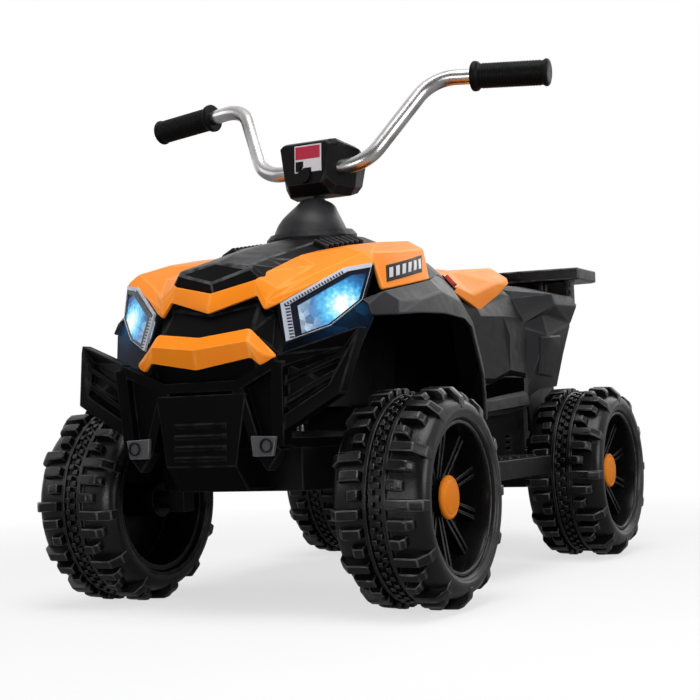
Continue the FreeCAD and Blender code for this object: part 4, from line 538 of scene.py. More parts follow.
# A dark, non-reflecting colour that paints the shade inside the flank recesses.
RECESS_SHADE = MouldedPlastic(
    "matt_black_plastic", "black_plastic", srgb(7, 7, 8), srgb(5, 5, 6), srgb(24, 24, 25),
    roughness=(0.7, 0.85), specular=0.0,
)
BRACKET = MouldedPlastic(
    "tow_bracket_plastic", "dark_grey_plastic", srgb(84, 84, 86), srgb(70, 70, 72), srgb(128, 128, 130),
    roughness=(0.34, 0.48), specular=0.14,
)
GREY = MouldedPlastic(
    "dark_grey_satin_plastic", "dark_grey_plastic", srgb(38, 38, 40), srgb(31, 31, 33), srgb(86, 86, 89),
    roughness=(0.34, 0.48), specular=0.14, wear=0.5,
)
CHARCOAL = MouldedPlastic(
    "charcoal_satin_plastic", "dark_grey_plastic", srgb(22, 22, 24), srgb(17, 17, 18), srgb(62, 62, 65),
    roughness=(0.34, 0.48), specular=0.11, wear=0.5,
)
TYRE = MouldedPlastic(
    "tyre_blown_plastic", "tyre_plastic", srgb(15, 15, 16), srgb(10, 10, 11), srgb(84, 84, 86),
    roughness=(0.24, 0.38), specular=0.26, wear=0.8,
    grain_size=0.0016, grain_depth=0.00014, rub_size=0.02,
)
RIM = MouldedPlastic(
    "rim_gloss_plastic", "rim_plastic", srgb(20, 20, 21), srgb(14, 14, 15), srgb(104, 104, 106),
    roughness=(0.22, 0.36), specular=0.18, grain_depth=0.00002,
)
GRIP = MouldedPlastic(
    "soft_grip_rubber", "grip_rubber", srgb(11, 11, 11), srgb(8, 8, 9), srgb(30, 29, 29),
    roughness=(0.4, 0.56), specular=0.08, grain_size=0.0008, grain_depth=0.00008,
)
RED = MouldedPlastic(
    "red_orange_plastic", "red_plastic", srgb(196, 74, 40), srgb(180, 62, 30), srgb(230, 130, 96),
    roughness=(0.25, 0.38), specular=0.35,
)
PALE = MouldedPlastic(
    "pale_print_film", "lamp_white", srgb(204, 200, 206), srgb(190, 186, 192), srgb(224, 220, 226),
    roughness=(0.3, 0.42), specular=0.3, grain_depth=0.00001,
)
CRIMSON = MouldedPlastic(
    "crimson_print_film", "red_plastic", srgb(172, 26, 58), srgb(156, 22, 50), srgb(200, 74, 100),
    roughness=(0.3, 0.42), specular=0.3, grain_depth=0.00001,
)
NYLON = MouldedPlastic(
    "gear_nylon", "gear_plastic", srgb(206, 200, 186), srgb(192, 186, 172), srgb(226, 222, 210),
    roughness=(0.35, 0.5),
)
# The silver strip is pale plastic, not metal: its brightness is partly its own pale colour and partly a
# painted reflection.
SILVER = MouldedPlastic(
    "silver_strip_film", "lamp_white", srgb(206, 210, 220), srgb(170, 176, 190), srgb(236, 238, 244),
    roughness=(0.2, 0.32), specular=0.4, grain_size=0.003, grain_depth=0.00008,
)
NAVY = MouldedPlastic(
    "lamp_navy_plastic", "black_plastic", srgb(22, 28, 42), srgb(14, 18, 30), srgb(70, 80, 104),
    roughness=(0.18, 0.3), specular=0.3, grain_depth=0.00002,
)
CHROME = Metal(
    "bright_chrome", "chrome_tube", srgb(206, 205, 206), srgb(150, 146, 144),
    roughness=(0.24, 0.34), scratch_depth=0.000002,
)
STEEL = Metal(
    "zinc_steel", "steel", srgb(150, 150, 152), srgb(112, 112, 114),
    roughness=(0.28, 0.45), scratch_depth=0.00003,
)
LENS = LitLens("lit_cut_lens", "clear_lens", srgb(44, 60, 80), LED_HALO, strength=1.0)
REFLECTOR = LampCrystal("lamp_crystal", "lamp_white", srgb(96, 108, 126), LED_SPREAD, strength=1.2)
BULB = LampCrystal("lit_bulb", "lamp_white", WHITE, LED_HALO, strength=1.2, metallic=0.0)
# The cheek is no lamp: its glow paints the lamp's light spilling onto it.
CHEEK_PAINTED_GLOW = LampCrystal(
    "lamp_lit_cheek", "black_plastic", srgb(11, 13, 18), PAINTED_LED_SPILL, strength=0.18,
    metallic=0.0, specular=0.03, facet_size=0.02, facet_depth=0.0,
)


def body_of(node: str) -> str:
    """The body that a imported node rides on."""
    parent = frame["nodes"][node].parent
    return next(name for name, empty in frame["bodies"].items() if empty == parent)


def linked_object(name: str, data: bpy.types.ID) -> Thing:
    """A new object in the scene.

    Args:
        name: The object's name.
        data: Its mesh, lamp or camera.

    Returns:
        The object.
    """
    thing = bpy.data.objects.new(name, data)
    bpy.context.scene.collection.objects.link(thing)
    return thing


def welded_copy(node: str) -> Form:
    """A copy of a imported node's mesh with its loose triangles joined.

    Args:
        node: The node's name.

    Returns:
        The joined form.
    """
    form = bmesh.new()
    form.from_mesh(frame["nodes"][node].data)
    bmesh.ops.remove_doubles(form, verts=form.verts, dist=WELD_DISTANCE)
    return form


def evaluated_mesh(thing: Thing) -> Mesh:
    """A plain mesh of what an object's modifiers give, with the modifiers taken off.

    Args:
        thing: The object.

    Returns:
        The mesh.
    """
    graph = bpy.context.evaluated_depsgraph_get()
    mesh = bpy.data.meshes.new_from_object(thing.evaluated_get(graph), depsgraph=graph)
    thing.modifiers.clear()
    return mesh


def scratch_object(name: str, form: Form) -> Thing:
    """A passing object that holds a form while modifiers work on it.

    Args:
        name: The object's name.
        form: The form, which is used up.

    Returns:
        The object.
    """
    mesh = bpy.data.meshes.new(name)
    form.to_mesh(mesh)
    form.free()
    return linked_object(name, mesh)


def show_piece(
    name: str, mesh: Mesh, finish: Finish, body: str = "chassis", nodes: Sequence[str] = ()
) -> Thing:
    """Puts a finished mesh into the scene on its body.

    Args:
        name: The piece's name.
        mesh: Its mesh, in place.
        finish: Its finish.
        body: The body that it rides on.
        nodes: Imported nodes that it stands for.

    Returns:
        The piece's object.
    """
    mesh.materials.clear()
    mesh.materials.append(material_of(finish))
    mesh.name = name
    thing = linked_object(name, mesh)
    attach(thing, body)
    if nodes:
        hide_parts(*nodes)
    log.info("piece %s: %d faces on %s, %s", name, len(mesh.polygons), body, finish.name)
    return thing


@dataclass(frozen=True)
class EdgeRounding:
    """Rounds the sharp edges of a moulded form, as far as each edge has room for it."""

    width: float = 0.0012
    segments: int = 2
    crease: float = 20.0
    room_share: float = 0.36
    flat_angle: float = 0.6
    sharp_angle: float = 42.0
    chip: float = 0.00025
    over_turn: float = -0.6
    unfold_rounds: int = 12

    def room(self, edge: bmesh.types.BMEdge) -> float:
        """How wide an edge's rounding may be without running into its neighbours.

        Args:
            edge: The edge.

        Returns:
            A width in metres.
        """
        start, end = (vert.co for vert in edge.verts)
        along = (end - start).normalized()
        spans = []
        for face in edge.link_faces:
            spans.append(max((vert.co - start).cross(along).length for vert in face.verts))
        for vert in edge.verts:
            spans += [other.calc_length() for other in vert.link_edges if other is not edge]
        return min(spans) * self.room_share

    def clean(self, form: Form) -> None:
        """Joins flat facets and drops chips that are too small to see.

        Args:
            form: The form, which is changed.
        """
        bmesh.ops.dissolve_limit(
            form, angle_limit=math.radians(self.flat_angle), verts=form.verts, edges=form.edges
        )
        bmesh.ops.dissolve_degenerate(form, dist=self.chip, edges=form.edges)

    def apply(self, form: Form, name: str) -> Mesh:
        """Rounds a closed form and marks the rounded faces for the finish.

        Args:
            form: The form, which is used up.
            name: A name for the mesh.

        Returns:
            A smoothly shaded mesh.
        """
        self.clean(form)
        weights = form.edges.layers.float.new("bevel_weight_edge")
        for edge in form.edges:
            if len(edge.link_faces) == 2 and edge.calc_face_angle() > math.radians(self.crease):
                edge[weights] = max(0.0, min(1.0, self.room(edge) / self.width))
        thing = scratch_object(name, form)
        for _ in range(2):
            thing.data.materials.append(None)
        bevel = thing.modifiers.new("round", "BEVEL")
        bevel.limit_method = "WEIGHT"
        bevel.offset_type = "OFFSET"
        bevel.width = self.width
        bevel.segments = self.segments
        bevel.use_clamp_overlap = False
        bevel.material = 1
        thing.data = self.marked(self.unfolded(evaluated_mesh(thing)))
        return shaded(thing, self.sharp_angle)

    def is_over(self, face: bmesh.types.BMFace) -> bool:
        """Whether a face looks the other way from the faces round it.

        Args:
            face: The face.

        Returns:
            True for a face that the rounding has turned over.
        """
        around = Vector()
        for edge in face.edges:
            for other in edge.link_faces:
                if other is not face:
                    around += other.normal
        return face.normal.dot(around.normalized()) < self.over_turn

    def unfolded(self, mesh: Mesh) -> Mesh:
        """Draws together the small faces that the rounding has turned over, and closes slits.

        Args:
            mesh: The rounded mesh, which is changed.

        Returns:
            The same mesh.
        """
        form = bmesh.new()
        form.from_mesh(mesh)
        for _ in range(self.unfold_rounds):
            form.normal_update()
            over = [face for face in form.faces if self.is_over(face)]
            if not over:
                break
            log.info("%s: %d turned faces drawn together", mesh.name, len(over))
            shortest = {min(face.edges, key=lambda edge: edge.calc_length()) for face in over}
            bmesh.ops.collapse(form, edges=list(shortest), uvs=False)
        bmesh.ops.holes_fill(form, edges=[edge for edge in form.edges if edge.is_boundary], sides=0)
        form.to_mesh(mesh)
        form.free()
        return mesh

    def marked(self, mesh: Mesh) -> Mesh:
        """Notes on each face whether it is a rounded edge, and gives all faces one material.

        Args:
            mesh: A mesh whose rounded faces have the second material.

        Returns:
            The same mesh.
        """
        numbers = [0] * len(mesh.polygons)
        mesh.polygons.foreach_get("material_index", numbers)
        edge = mesh.attributes.new(EDGE_NAME, "FLOAT", "FACE")
        edge.data.foreach_set("value", [float(number) for number in numbers])
        mesh.polygons.foreach_set("material_index", [0] * len(numbers))
        return mesh


def shaded(thing: Thing, sharp_angle: float) -> Mesh:
    """Smooth shading that keeps flat faces flat, with the passing object removed.

    Args:
        thing: The passing object.
        sharp_angle: Angle in degrees past which an edge stays sharp.

    Returns:
        The shaded mesh.
    """
    thing.data.shade_smooth()
    thing.data.set_sharp_from_angle(angle=math.radians(sharp_angle))
    weigh = thing.modifiers.new("weigh", "WEIGHTED_NORMAL")
    weigh.keep_sharp = True
    mesh = evaluated_mesh(thing)
    bpy.data.objects.remove(thing)
    return mesh


def smoothed(form: Form, name: str, sharp_angle: float) -> Mesh:
    """A smoothly shaded mesh of a form, which is used up."""
    return shaded(scratch_object(name, form), sharp_angle)


def from_x_axis(direction: Vector) -> Matrix:
    """The turn that takes the X axis to a direction."""
    return Vector((1, 0, 0)).rotation_difference(direction).to_matrix().to_4x4()


def skin(form: Form, rings: list[list[bmesh.types.BMVert]], closed: bool = False) -> None:
    """Closes the gaps between rings of points with four-sided faces.

    Args:
        form: The form that holds the rings.
        rings: The rings in order, all with as many points.
        closed: Whether the last ring joins the first.
    """
    for near, far in zip(rings, rings[1:] + (rings[:1] if closed else [])):
        for index in range(len(near)):
            after = (index + 1) % len(near)
            form.faces.new((near[index], near[after], far[after], far[index]))


def outward(form: Form) -> Form:
    """The same form with its faces turned outward."""
    bmesh.ops.recalc_face_normals(form, faces=form.faces)
    return form


def lathe(profile: Sequence[Flat], steps: int, closed: bool = False) -> Form:
    """A form turned round the X axis.

    Args:
        profile: Points of (x, radius).
        steps: Faces round the axis.
        closed: Whether the last point joins the first.

    Returns:
        The turned form, with its faces outward.
    """
    form = bmesh.new()
    rings = []
    for x, radius in profile:
        angles = [FULL_TURN * step / steps for step in range(steps)]
        rings.append([form.verts.new((x, radius * math.sin(a), radius * math.cos(a))) for a in angles])
    skin(form, rings, closed)
    bmesh.ops.remove_doubles(form, verts=form.verts, dist=WELD_DISTANCE)
    return outward(form)


def loft(near: Sequence[Vector], far: Sequence[Vector]) -> Form:
    """A closed form between two outlines.

    Args:
        near: Corners of the first outline.
        far: Corners of the second, as many and in the same order.

    Returns:
        The form, with its faces outward.
    """
    form = bmesh.new()
    first = [form.verts.new(corner) for corner in near]
    last = [form.verts.new(corner) for corner in far]
    form.faces.new(first)
    form.faces.new(list(reversed(last)))
    skin(form, [last, first])
    return outward(form)


def prism(outline: Sequence[Vector], along: Vector) -> Form:
    """A closed form between an outline and its copy, which lies along a way from it."""
    return loft(outline, [corner + along for corner in outline])


def joined(forms: Sequence[Form]) -> Form:
    """One form that holds several.

    Args:
        forms: The forms, which are used up.

    Returns:
        The whole form.
    """
    whole = bmesh.new()
    for form in forms:
        passing = bpy.data.meshes.new("passing")
        form.to_mesh(passing)
        form.free()
        whole.from_mesh(passing)
        bpy.data.meshes.remove(passing)
    return whole


def merged(meshes: Sequence[Mesh], name: str) -> Mesh:
    """One mesh that holds several, which are removed.

    Args:
        meshes: The meshes, all with the same layers.
        name: Name of the result.

    Returns:
        The joined mesh, with its shading kept.
    """
    things = [linked_object(name, mesh) for mesh in meshes]
    chosen = {"active_object": things[0], "selected_editable_objects": things, "selected_objects": things}
    with bpy.context.temp_override(**chosen):
        bpy.ops.object.join()
    mesh = things[0].data
    bpy.data.objects.remove(things[0])
    return mesh


def inset(
    outline: Sequence[Vector], widths: Sequence[float], least_turn: float = 0.15, straight: float = 0.05
) -> list[Vector]:
    """A flat outline drawn in by a width for each of its edges.

    Args:
        outline: Corners in order round the outline, on one plane.
        widths: Width for the edge that starts at each corner.
        least_turn: Holds back the corners of very sharp turns.
        straight: Sine of the turn up to which two edges count as one line.

    Returns:
        The inner corners.
    """
    count = len(outline)
    normal = Vector((0, 0, 0))
    for index in range(count):
        normal += outline[index].cross(outline[(index + 1) % count])
    normal.normalize()
    corners = []
    for index in range(count):
        before = (outline[index] - outline[index - 1]).normalized()
        ahead = (outline[(index + 1) % count] - outline[index]).normalized()
        first, second = normal.cross(before), normal.cross(ahead)
        turn = max(least_turn, 1 + first.dot(second))
        if abs(widths[index - 1] - widths[index]) < WELD_DISTANCE or before.cross(ahead).length < straight:
            corners.append(outline[index] + (first + second) * (widths[index] / turn))
            continue
        slide = (widths[index] - widths[index - 1] * first.dot(second)) / before.dot(second)
        corners.append(outline[index] + first * widths[index - 1] + before * slide)
    return corners


class Pattern:
    """A geometry-node tree that repeats or sweeps the mesh of the object that carries it."""

    def __init__(self, name: str, **kinds: str) -> None:
        """Starts a tree with its named inputs, of which Geometry comes first and Material last.

        Args:
            name: Name of the tree.
            **kinds: Input name, with _ for each space, to the kind of its socket.
        """
        self.tree = bpy.data.node_groups.new(name, "GeometryNodeTree")
        self.graph = NodeGraph(self.tree)
        self.identifiers: dict[str, str] = {}
        for key, kind in {"Geometry": "Geometry", **kinds, "Material": "Material"}.items():
            label = key.replace("_", " ")
            socket = self.tree.interface.new_socket(label, in_out="INPUT", socket_type=f"NodeSocket{kind}")
            self.identifiers[label] = socket.identifier
        self.tree.interface.new_socket("Geometry", in_out="OUTPUT", socket_type="NodeSocketGeometry")
        self.source = self.graph.add("NodeGroupInput")

    def finish(self, geometry: Socket) -> None:
        """Makes a real mesh of the result, gives it its material and ends the tree.

        Args:
            geometry: What the tree has made.
        """
        real = self.graph.add("GeometryNodeRealizeInstances", {"Geometry": geometry})
        dress = {"Geometry": real.outputs[0], "Material": self.source.outputs["Material"]}
        dressed = self.graph.add("GeometryNodeSetMaterial", dress)
        self.graph.add("NodeGroupOutput", {0: dressed.outputs[0]})

    def grow(self, name: str, mesh: Mesh, values: dict[str, object]) -> Mesh:
        """Runs the tree on a mesh.

        Args:
            name: Name of the result.
            mesh: The mesh that the tree works on.
            values: Input name to value.

        Returns:
            The plain mesh that the tree gives.
        """
        thing = linked_object(name, mesh)
        modifier = thing.modifiers.new(self.tree.name, "NODES")
        modifier.node_group = self.tree
        for label, value in values.items():
            modifier[self.identifiers[label]] = tuple(value) if isinstance(value, Vector) else value
        grown = evaluated_mesh(thing)
        bpy.data.objects.remove(thing)
        return grown


class RingPattern(Pattern):
    """Copies set round the X axis at equal angles."""

    def __init__(self) -> None:
        """Builds the tree with the inputs Count, Phase and Material."""
        super().__init__("copies_round_axis", Count="Int", Phase="Float")
        graph, inputs = self.graph, self.source.outputs
        points = graph.add("GeometryNodePoints", {"Count": inputs["Count"]})
        index = graph.add("GeometryNodeInputIndex").outputs[0]
        pitch = graph.math("DIVIDE", FULL_TURN, inputs["Count"])
        angle = graph.math("ADD", graph.math("MULTIPLY", index, pitch), inputs["Phase"])
        turn = graph.add("ShaderNodeCombineXYZ", {"X": angle}).outputs[0]
        copies = graph.add(
            "GeometryNodeInstanceOnPoints",
            {"Points": points.outputs[0], "Instance": inputs["Geometry"], "Rotation": turn},
        )
        self.finish(copies.outputs[0])


class RowPattern(Pattern):
    """Copies set in a straight row at equal steps."""

    def __init__(self) -> None:
        """Builds the tree with the inputs Count, Step and Material."""
        super().__init__("copies_in_row", Count="Int", Step="Vector")
        graph, inputs = self.graph, self.source.outputs
        points = graph.add("GeometryNodePoints", {"Count": inputs["Count"]})
        index = graph.add("GeometryNodeInputIndex").outputs[0]
        step = graph.add("ShaderNodeVectorMath", {0: inputs["Step"], "Scale": index}, operation="SCALE")
        moved = graph.add(
            "GeometryNodeSetPosition", {"Geometry": points.outputs[0], "Position": step.outputs[0]}
        )
        copies = graph.add(
            "GeometryNodeInstanceOnPoints", {"Points": moved.outputs[0], "Instance": inputs["Geometry"]}
        )
        self.finish(copies.outputs[0])


class TubePattern(Pattern):
    """A round tube along a chain of points, with a bend radius at each point."""

    def __init__(self) -> None:
        """Builds the tree with the inputs Radius, Sides, Bend Steps and Material."""
        super().__init__("tube_along_path", Radius="Float", Sides="Int", Bend_Steps="Int")
        graph, inputs = self.graph, self.source.outputs
        path = graph.add("GeometryNodeMeshToCurve", {"Mesh": inputs["Geometry"]})
        bend = graph.add("GeometryNodeInputNamedAttribute", {"Name": BEND_NAME}, data_type="FLOAT")
        rounded = graph.add(
            "GeometryNodeFilletCurve",
            {"Curve": path.outputs[0], "Count": inputs["Bend Steps"], "Radius": bend.outputs[0]},
            mode="POLY",
        )
        ring = graph.add(
            "GeometryNodeCurvePrimitiveCircle", {"Resolution": inputs["Sides"], "Radius": inputs["Radius"]}
        )
        tube = graph.add(
            "GeometryNodeCurveToMesh",
            {"Curve": rounded.outputs[0], "Profile Curve": ring.outputs[0], "Fill Caps": True},
        )
        self.finish(tube.outputs[0])


class Carrier:
    """Packed panels that a plate is laid on."""

    def __init__(self, nodes: Sequence[str], facing: Facing, side: Side = Side.LEFT) -> None:
        """Reads the panels' faces.

        Args:
            nodes: Names of the panels.
            facing: The way that the plate is laid on.
            side: The side that it is laid on from, where that matters.
        """
        points: list[Vector] = []
        faces: list[list[int]] = []
        for node in nodes:
            mesh = frame["nodes"][node].data
            first = len(points)
            points += [vert.co.copy() for vert in mesh.vertices]
            faces += [[first + index for index in face.vertices] for face in mesh.polygons]
        self.tree = BVHTree.FromPolygons(points, faces)
        self.facing = facing
        self.side = side

    def axis(self) -> Vector:
        """The way out of the panel.

        Returns:
            A vector of length 1.
        """
        if self.facing is Facing.SIDE:
            return Vector((self.side.value, 0, 0))
        return Vector((0, -1, 0)) if self.facing is Facing.FRONT else Vector((0, 0, 1))

    def start(self, u: float, v: float) -> Vector:
        """A point well outside the panel, over a place.

        Args:
            u: Y for a side plate, otherwise X at the left.
            v: Y for a top plate, otherwise Z.

        Returns:
            The point.
        """
        reach = self.axis()
        if self.facing is Facing.SIDE:
            return reach + Vector((0, u, v))
        if self.facing is Facing.FRONT:
            return reach + Vector((u * self.side.value, 0, v))
        return reach + Vector((u * self.side.value, v, 0))

    def hit(self, u: float, v: float) -> tuple[Vector, Vector]:
        """The panel's surface at a place.

        Args:
            u: Y for a side plate, otherwise X at the left.
            v: Y for a top plate, otherwise Z.

        Returns:
            The point on the panel and its outward normal.
        """
        point, normal, _, _ = self.tree.ray_cast(self.start(u, v), -self.axis())
        if point is None:
            point, normal, _, _ = self.tree.find_nearest(self.start(u, v))
        return point, normal


@dataclass(frozen=True)
class Plate:
    """A raised plate with chamfered edges that lies on a panel and follows it."""

    outline: Sequence[Flat]
    height: float
    chamfer: float
    step: float = 0.005
    sink: float = 0.0008

    def blank(self) -> Form:
        """The plate laid out flat, with its height as Z, cut along a grid so that it can bend.

        Returns:
            The flat form.
        """
        corners = [Vector((u, v, 0)) for u, v in self.outline]
        inner = inset(corners, [self.chamfer] * len(corners))
        levels = (
            [corner - Vector((0, 0, self.sink)) for corner in corners],
            [corner + Vector((0, 0, self.height - self.chamfer)) for corner in corners],
            [corner + Vector((0, 0, self.height)) for corner in inner],
        )
        form = bmesh.new()
        rings = [[form.verts.new(corner) for corner in level] for level in levels]
        form.faces.new(list(reversed(rings[0])))
        form.faces.new(rings[-1])
        skin(form, rings)
        for axis in (0, 1):
            low = min(corner[axis] for corner in corners)
            high = max(corner[axis] for corner in corners)
            normal = Vector((1 - axis, axis, 0))
            for count in range(1, int((high - low) / self.step) + 1):
                geometry = list(form.verts) + list(form.edges) + list(form.faces)
                place = normal * (low + count * self.step)
                bmesh.ops.bisect_plane(
                    form, geom=geometry, dist=CUT_DISTANCE, plane_co=place, plane_no=normal
                )
        return form

    def laid(self, carrier: Carrier) -> Form:
        """The plate on its panel.

        Args:
            carrier: The panel.

        Returns:
            The bent form, with its faces outward.
        """
        form = self.blank()
        lift = Vector((0, 0, 0))
        for u, v in self.outline:
            lift += carrier.hit(u, v)[1]
        lift.normalize()
        if lift.dot(carrier.axis()) < 0:
            lift.negate()
        for vert in form.verts:
            u, v, height = vert.co
            vert.co = carrier.hit(u, v)[0] + lift * height
        outward(form)
        if form.calc_volume(signed=True) < 0:
            bmesh.ops.reverse_faces(form, faces=form.faces)
        return form


@dataclass(frozen=True)
class Relief:
    """A faceted field on a panel, given by the heights of its corners over the panel."""

    points: Sequence[Point]
    faces: Sequence[Sequence[int]]
    sink: float = 0.0015

    def laid(self, carrier: Carrier) -> Form:
        """The field on its panel.

        Args:
            carrier: The panel.

        Returns:
            The closed form, with its faces outward.
        """
        form = bmesh.new()
        out = carrier.axis()
        bases = [carrier.hit(u, v)[0] for u, v, _ in self.points]
        tops = [form.verts.new(base + out * point[2]) for base, point in zip(bases, self.points)]
        feet = [form.verts.new(base - out * self.sink) for base in bases]
        for face in self.faces:
            form.faces.new([tops[index] for index in face])
            form.faces.new([feet[index] for index in reversed(face)])
        sides = [(face[at - 1], face[at]) for face in self.faces for at in range(len(face))]
        for start, end in sides:
            if (end, start) not in sides:
                form.faces.new((tops[end], tops[start], feet[start], feet[end]))
        return outward(form)


def show_plates(
    name: str, plates: Sequence[tuple[Plate | Relief, Carrier]], finish: Finish,
    body: str = "chassis", sharp: float = 30.0,
) -> Thing:
    """Shows plates that share a finish as one piece.

    Args:
        name: The piece's name.
        plates: Each plate with the panel that it lies on.
        finish: Their finish.
        body: The body that they ride on.
        sharp: The angle in degrees from which an edge is shown sharp.

    Returns:
        The piece's object.
    """
    whole = joined([plate.laid(carrier) for plate, carrier in plates])
    return show_piece(name, smoothed(whole, name, sharp), finish, body)


@dataclass(frozen=True)
class PanelJob:
    """How one packed panel is finished: its finish, the width of its rounded edges and its crease angle."""

    node: str
    finish: Finish
    width: float
    crease: float = 9.0
    segments: int = 2
    sharp: float = 42.0

    def show(self) -> Thing:
        """Shows a rounded copy of the panel in its place.

        Returns:
            The piece's object.
        """
        rounding = EdgeRounding(
            width=self.width, crease=self.crease, segments=self.segments, sharp_angle=self.sharp
        )
        mesh = rounding.apply(welded_copy(self.node), self.node)
        return show_piece(f"{self.node}_finished", mesh, self.finish, body_of(self.node), [self.node])


def show_panels(*jobs: PanelJob) -> None:
    """Shows several panels, one after the other."""
    for job in jobs:
        job.show()


@dataclass
class BodyPanels:
    """Cowl, hood, tank, side panels, arches, saddle, tail and rack."""

    panel_edge: float = 0.0022
    saddle_edge: float = 0.006
    saddle_segments: int = 3
    hood_crease: float = 7.0
    hood_sharp: float = 14.0
    arch_sharp: float = 16.0
    relief_sharp: float = 12.0
    vent_ribs: int = 8
    vent_from: Flat = (0.052, -0.204)
    vent_to: Flat = (0.058, -0.142)
    rib_half_length: float = 0.0085
    rib_half_width: float = 0.0026
    rib_sink: float = 0.002
    rib_height: float = 0.0048
    rib_edges: EdgeRounding = EdgeRounding(width=0.0022, segments=3)
    badge: Sequence[Flat] = ((-0.2450, 0.2972), (-0.1690, 0.3122), (-0.1470, 0.3308), (-0.2350, 0.3136))
    badge_height: float = 0.0008
    badge_chamfer: float = 0.0003
    badge_bars: int = 6
    bar_height: float = 0.0013
    bar_chamfer: float = 0.0002
    bar_start_share: float = 0.34
    bar_margin_share: float = 0.2
    bar_width_share: float = 0.52
    bar_foot_share: float = 0.2
    bar_top_share: float = 0.8
    collar_centre: Flat = (0.0, -0.128)
    collar_radius: float = 0.047
    collar_height: float = 0.0075
    collar_chamfer: float = 0.0045
    collar_sides: int = 28
    leg_pad: Relief = Relief(
        points=(
            (0.020, 0.213, 0.0040), (0.072, 0.212, 0.0055), (0.110, 0.222, 0.0085), (0.116, 0.262, 0.0085),
            (0.112, 0.284, 0.0080), (0.060, 0.282, 0.0050), (0.020, 0.280, 0.0035), (0.020, 0.206, 0.0),
            (0.073, 0.205, 0.0), (0.113, 0.215, 0.0), (0.110, 0.300, 0.0060), (0.060, 0.297, 0.0050),
            (0.020, 0.296, 0.0040),
        ),
        faces=((0, 1, 5, 6), (1, 2, 3, 4, 5), (7, 8, 1, 0), (8, 9, 2, 1), (5, 4, 10, 11), (6, 5, 11, 12)),
    )
    leg_turn: Relief = Relief(
        points=(
            (0.110, 0.222, 0.0085), (0.172, 0.219, 0.0010), (0.180, 0.256, 0.0010), (0.176, 0.284, 0.0010),
            (0.112, 0.284, 0.0080), (0.116, 0.262, 0.0085), (0.113, 0.215, 0.0), (0.173, 0.213, 0.0),
            (0.172, 0.300, 0.0010), (0.110, 0.300, 0.0060),
        ),
        faces=((0, 1, 2, 5), (5, 2, 3, 4), (6, 7, 1, 0), (4, 3, 8, 9)),
    )
    low_ridge: Relief = Relief(
        points=(
            (0.020, 0.174, 0.0060), (0.168, 0.182, 0.0060), (0.168, 0.194, 0.0035), (0.064, 0.186, 0.0035),
            (0.020, 0.186, 0.0035), (0.168, 0.198, 0.0), (0.064, 0.190, 0.0), (0.020, 0.190, 0.0),
        ),
        faces=((0, 1, 2, 3, 4), (4, 3, 6, 7), (3, 2, 5, 6)),
    )
    # A thin sheet laid in each flank recess to paint the shade inside it.
    recess: Relief = Relief(
        points=(
            (0.022, 0.1895, 0.0006), (0.064, 0.1905, 0.0006), (0.112, 0.1945, 0.0006),
            (0.166, 0.1985, 0.0006), (0.166, 0.2135, 0.0006), (0.112, 0.2140, 0.0006),
            (0.068, 0.2052, 0.0006), (0.022, 0.2062, 0.0006),
        ),
        faces=((0, 1, 6, 7), (1, 2, 5, 6), (2, 3, 4, 5)),
    )
    tail_pad: Plate = Plate(
        outline=((0.198, 0.217), (0.238, 0.214), (0.250, 0.226), (0.246, 0.266), (0.200, 0.263)),
        height=0.003, chamfer=0.002,
    )
    rear_liner: Sequence[Flat] = (
        (0.196, 0.150), (0.286, 0.150), (0.286, 0.206), (0.270, 0.222), (0.196, 0.222),
    )
    rear_liner_offset: float = 0.1045
    front_liner: Sequence[Flat] = ((-0.106, 0.196), (-0.046, 0.196), (-0.046, 0.272), (-0.106, 0.272))
    front_liner_offset: float = 0.046
    liner_thickness: float = 0.003
    liner_edges: EdgeRounding = EdgeRounding(width=0.0008)

    def build(self) -> None:
        """Shows every panel with its plates and ribs."""
        edge = self.panel_edge
        show_panels(
            PanelJob("front_cowl", ORANGE, edge),
            PanelJob("hood_block", GLOSS, edge, crease=self.hood_crease, sharp=self.hood_sharp),
            PanelJob("main_body", CHARCOAL, edge),
            PanelJob("rear_body", GREY, edge),
            PanelJob("front_arch_left", GREY, edge, sharp=self.arch_sharp),
            PanelJob("front_arch_right", GREY, edge, sharp=self.arch_sharp),
            PanelJob("rear_rack", RACK, edge),
            PanelJob("seat", ORANGE, self.saddle_edge, segments=self.saddle_segments),
        )
        self.add_badges()
        self.add_vents()
        self.add_collar()
        self.add_relief()
        self.add_liners()

    def add_relief(self) -> None:
        """The raised fields of both flanks, with their turned faces darker as painted shade and a thin dark
        sheet in each recess as painted shade.
        """
        pads, shade_painted_turns, recess_shade_sheets, tails = [], [], [], []
        for side in Side:
            middle = Carrier(["main_body"], Facing.SIDE, side)
            pads += [(self.leg_pad, middle), (self.low_ridge, middle)]
            shade_painted_turns.append((self.leg_turn, middle))
            recess_shade_sheets.append((self.recess, middle))
            tails.append((self.tail_pad, Carrier(["rear_body"], Facing.SIDE, side)))
        show_plates("flank_pads", pads, CHARCOAL, sharp=self.relief_sharp)
        # The turned faces take plain black, darker than the pads, as painted shade where they turn away from
        # the light.
        show_plates("flank_turns", shade_painted_turns, BLACK, sharp=self.relief_sharp)
        # A thin dark sheet in each recess paints the shade inside it.
        show_plates("flank_recesses", recess_shade_sheets, RECESS_SHADE, sharp=self.relief_sharp)
        show_plates("tail_pads", tails, GREY, sharp=self.relief_sharp)

    def add_liners(self) -> None:
        """A dark inner wall over each rear wheel, and one behind each front wheel."""
        walls = (
            (End.REAR, self.rear_liner, self.rear_liner_offset),
            (End.FRONT, self.front_liner, self.front_liner_offset),
        )
        for end, outline, offset in walls:
            for side in Side:
                corners = [Vector((offset * side.value, y, z)) for y, z in outline]
                wall = prism(corners, Vector((self.liner_thickness * side.value, 0, 0)))
                mesh = self.liner_edges.apply(wall, "liner")
                show_piece(f"{end.word}_liner_{side.word}", mesh, BLACK)

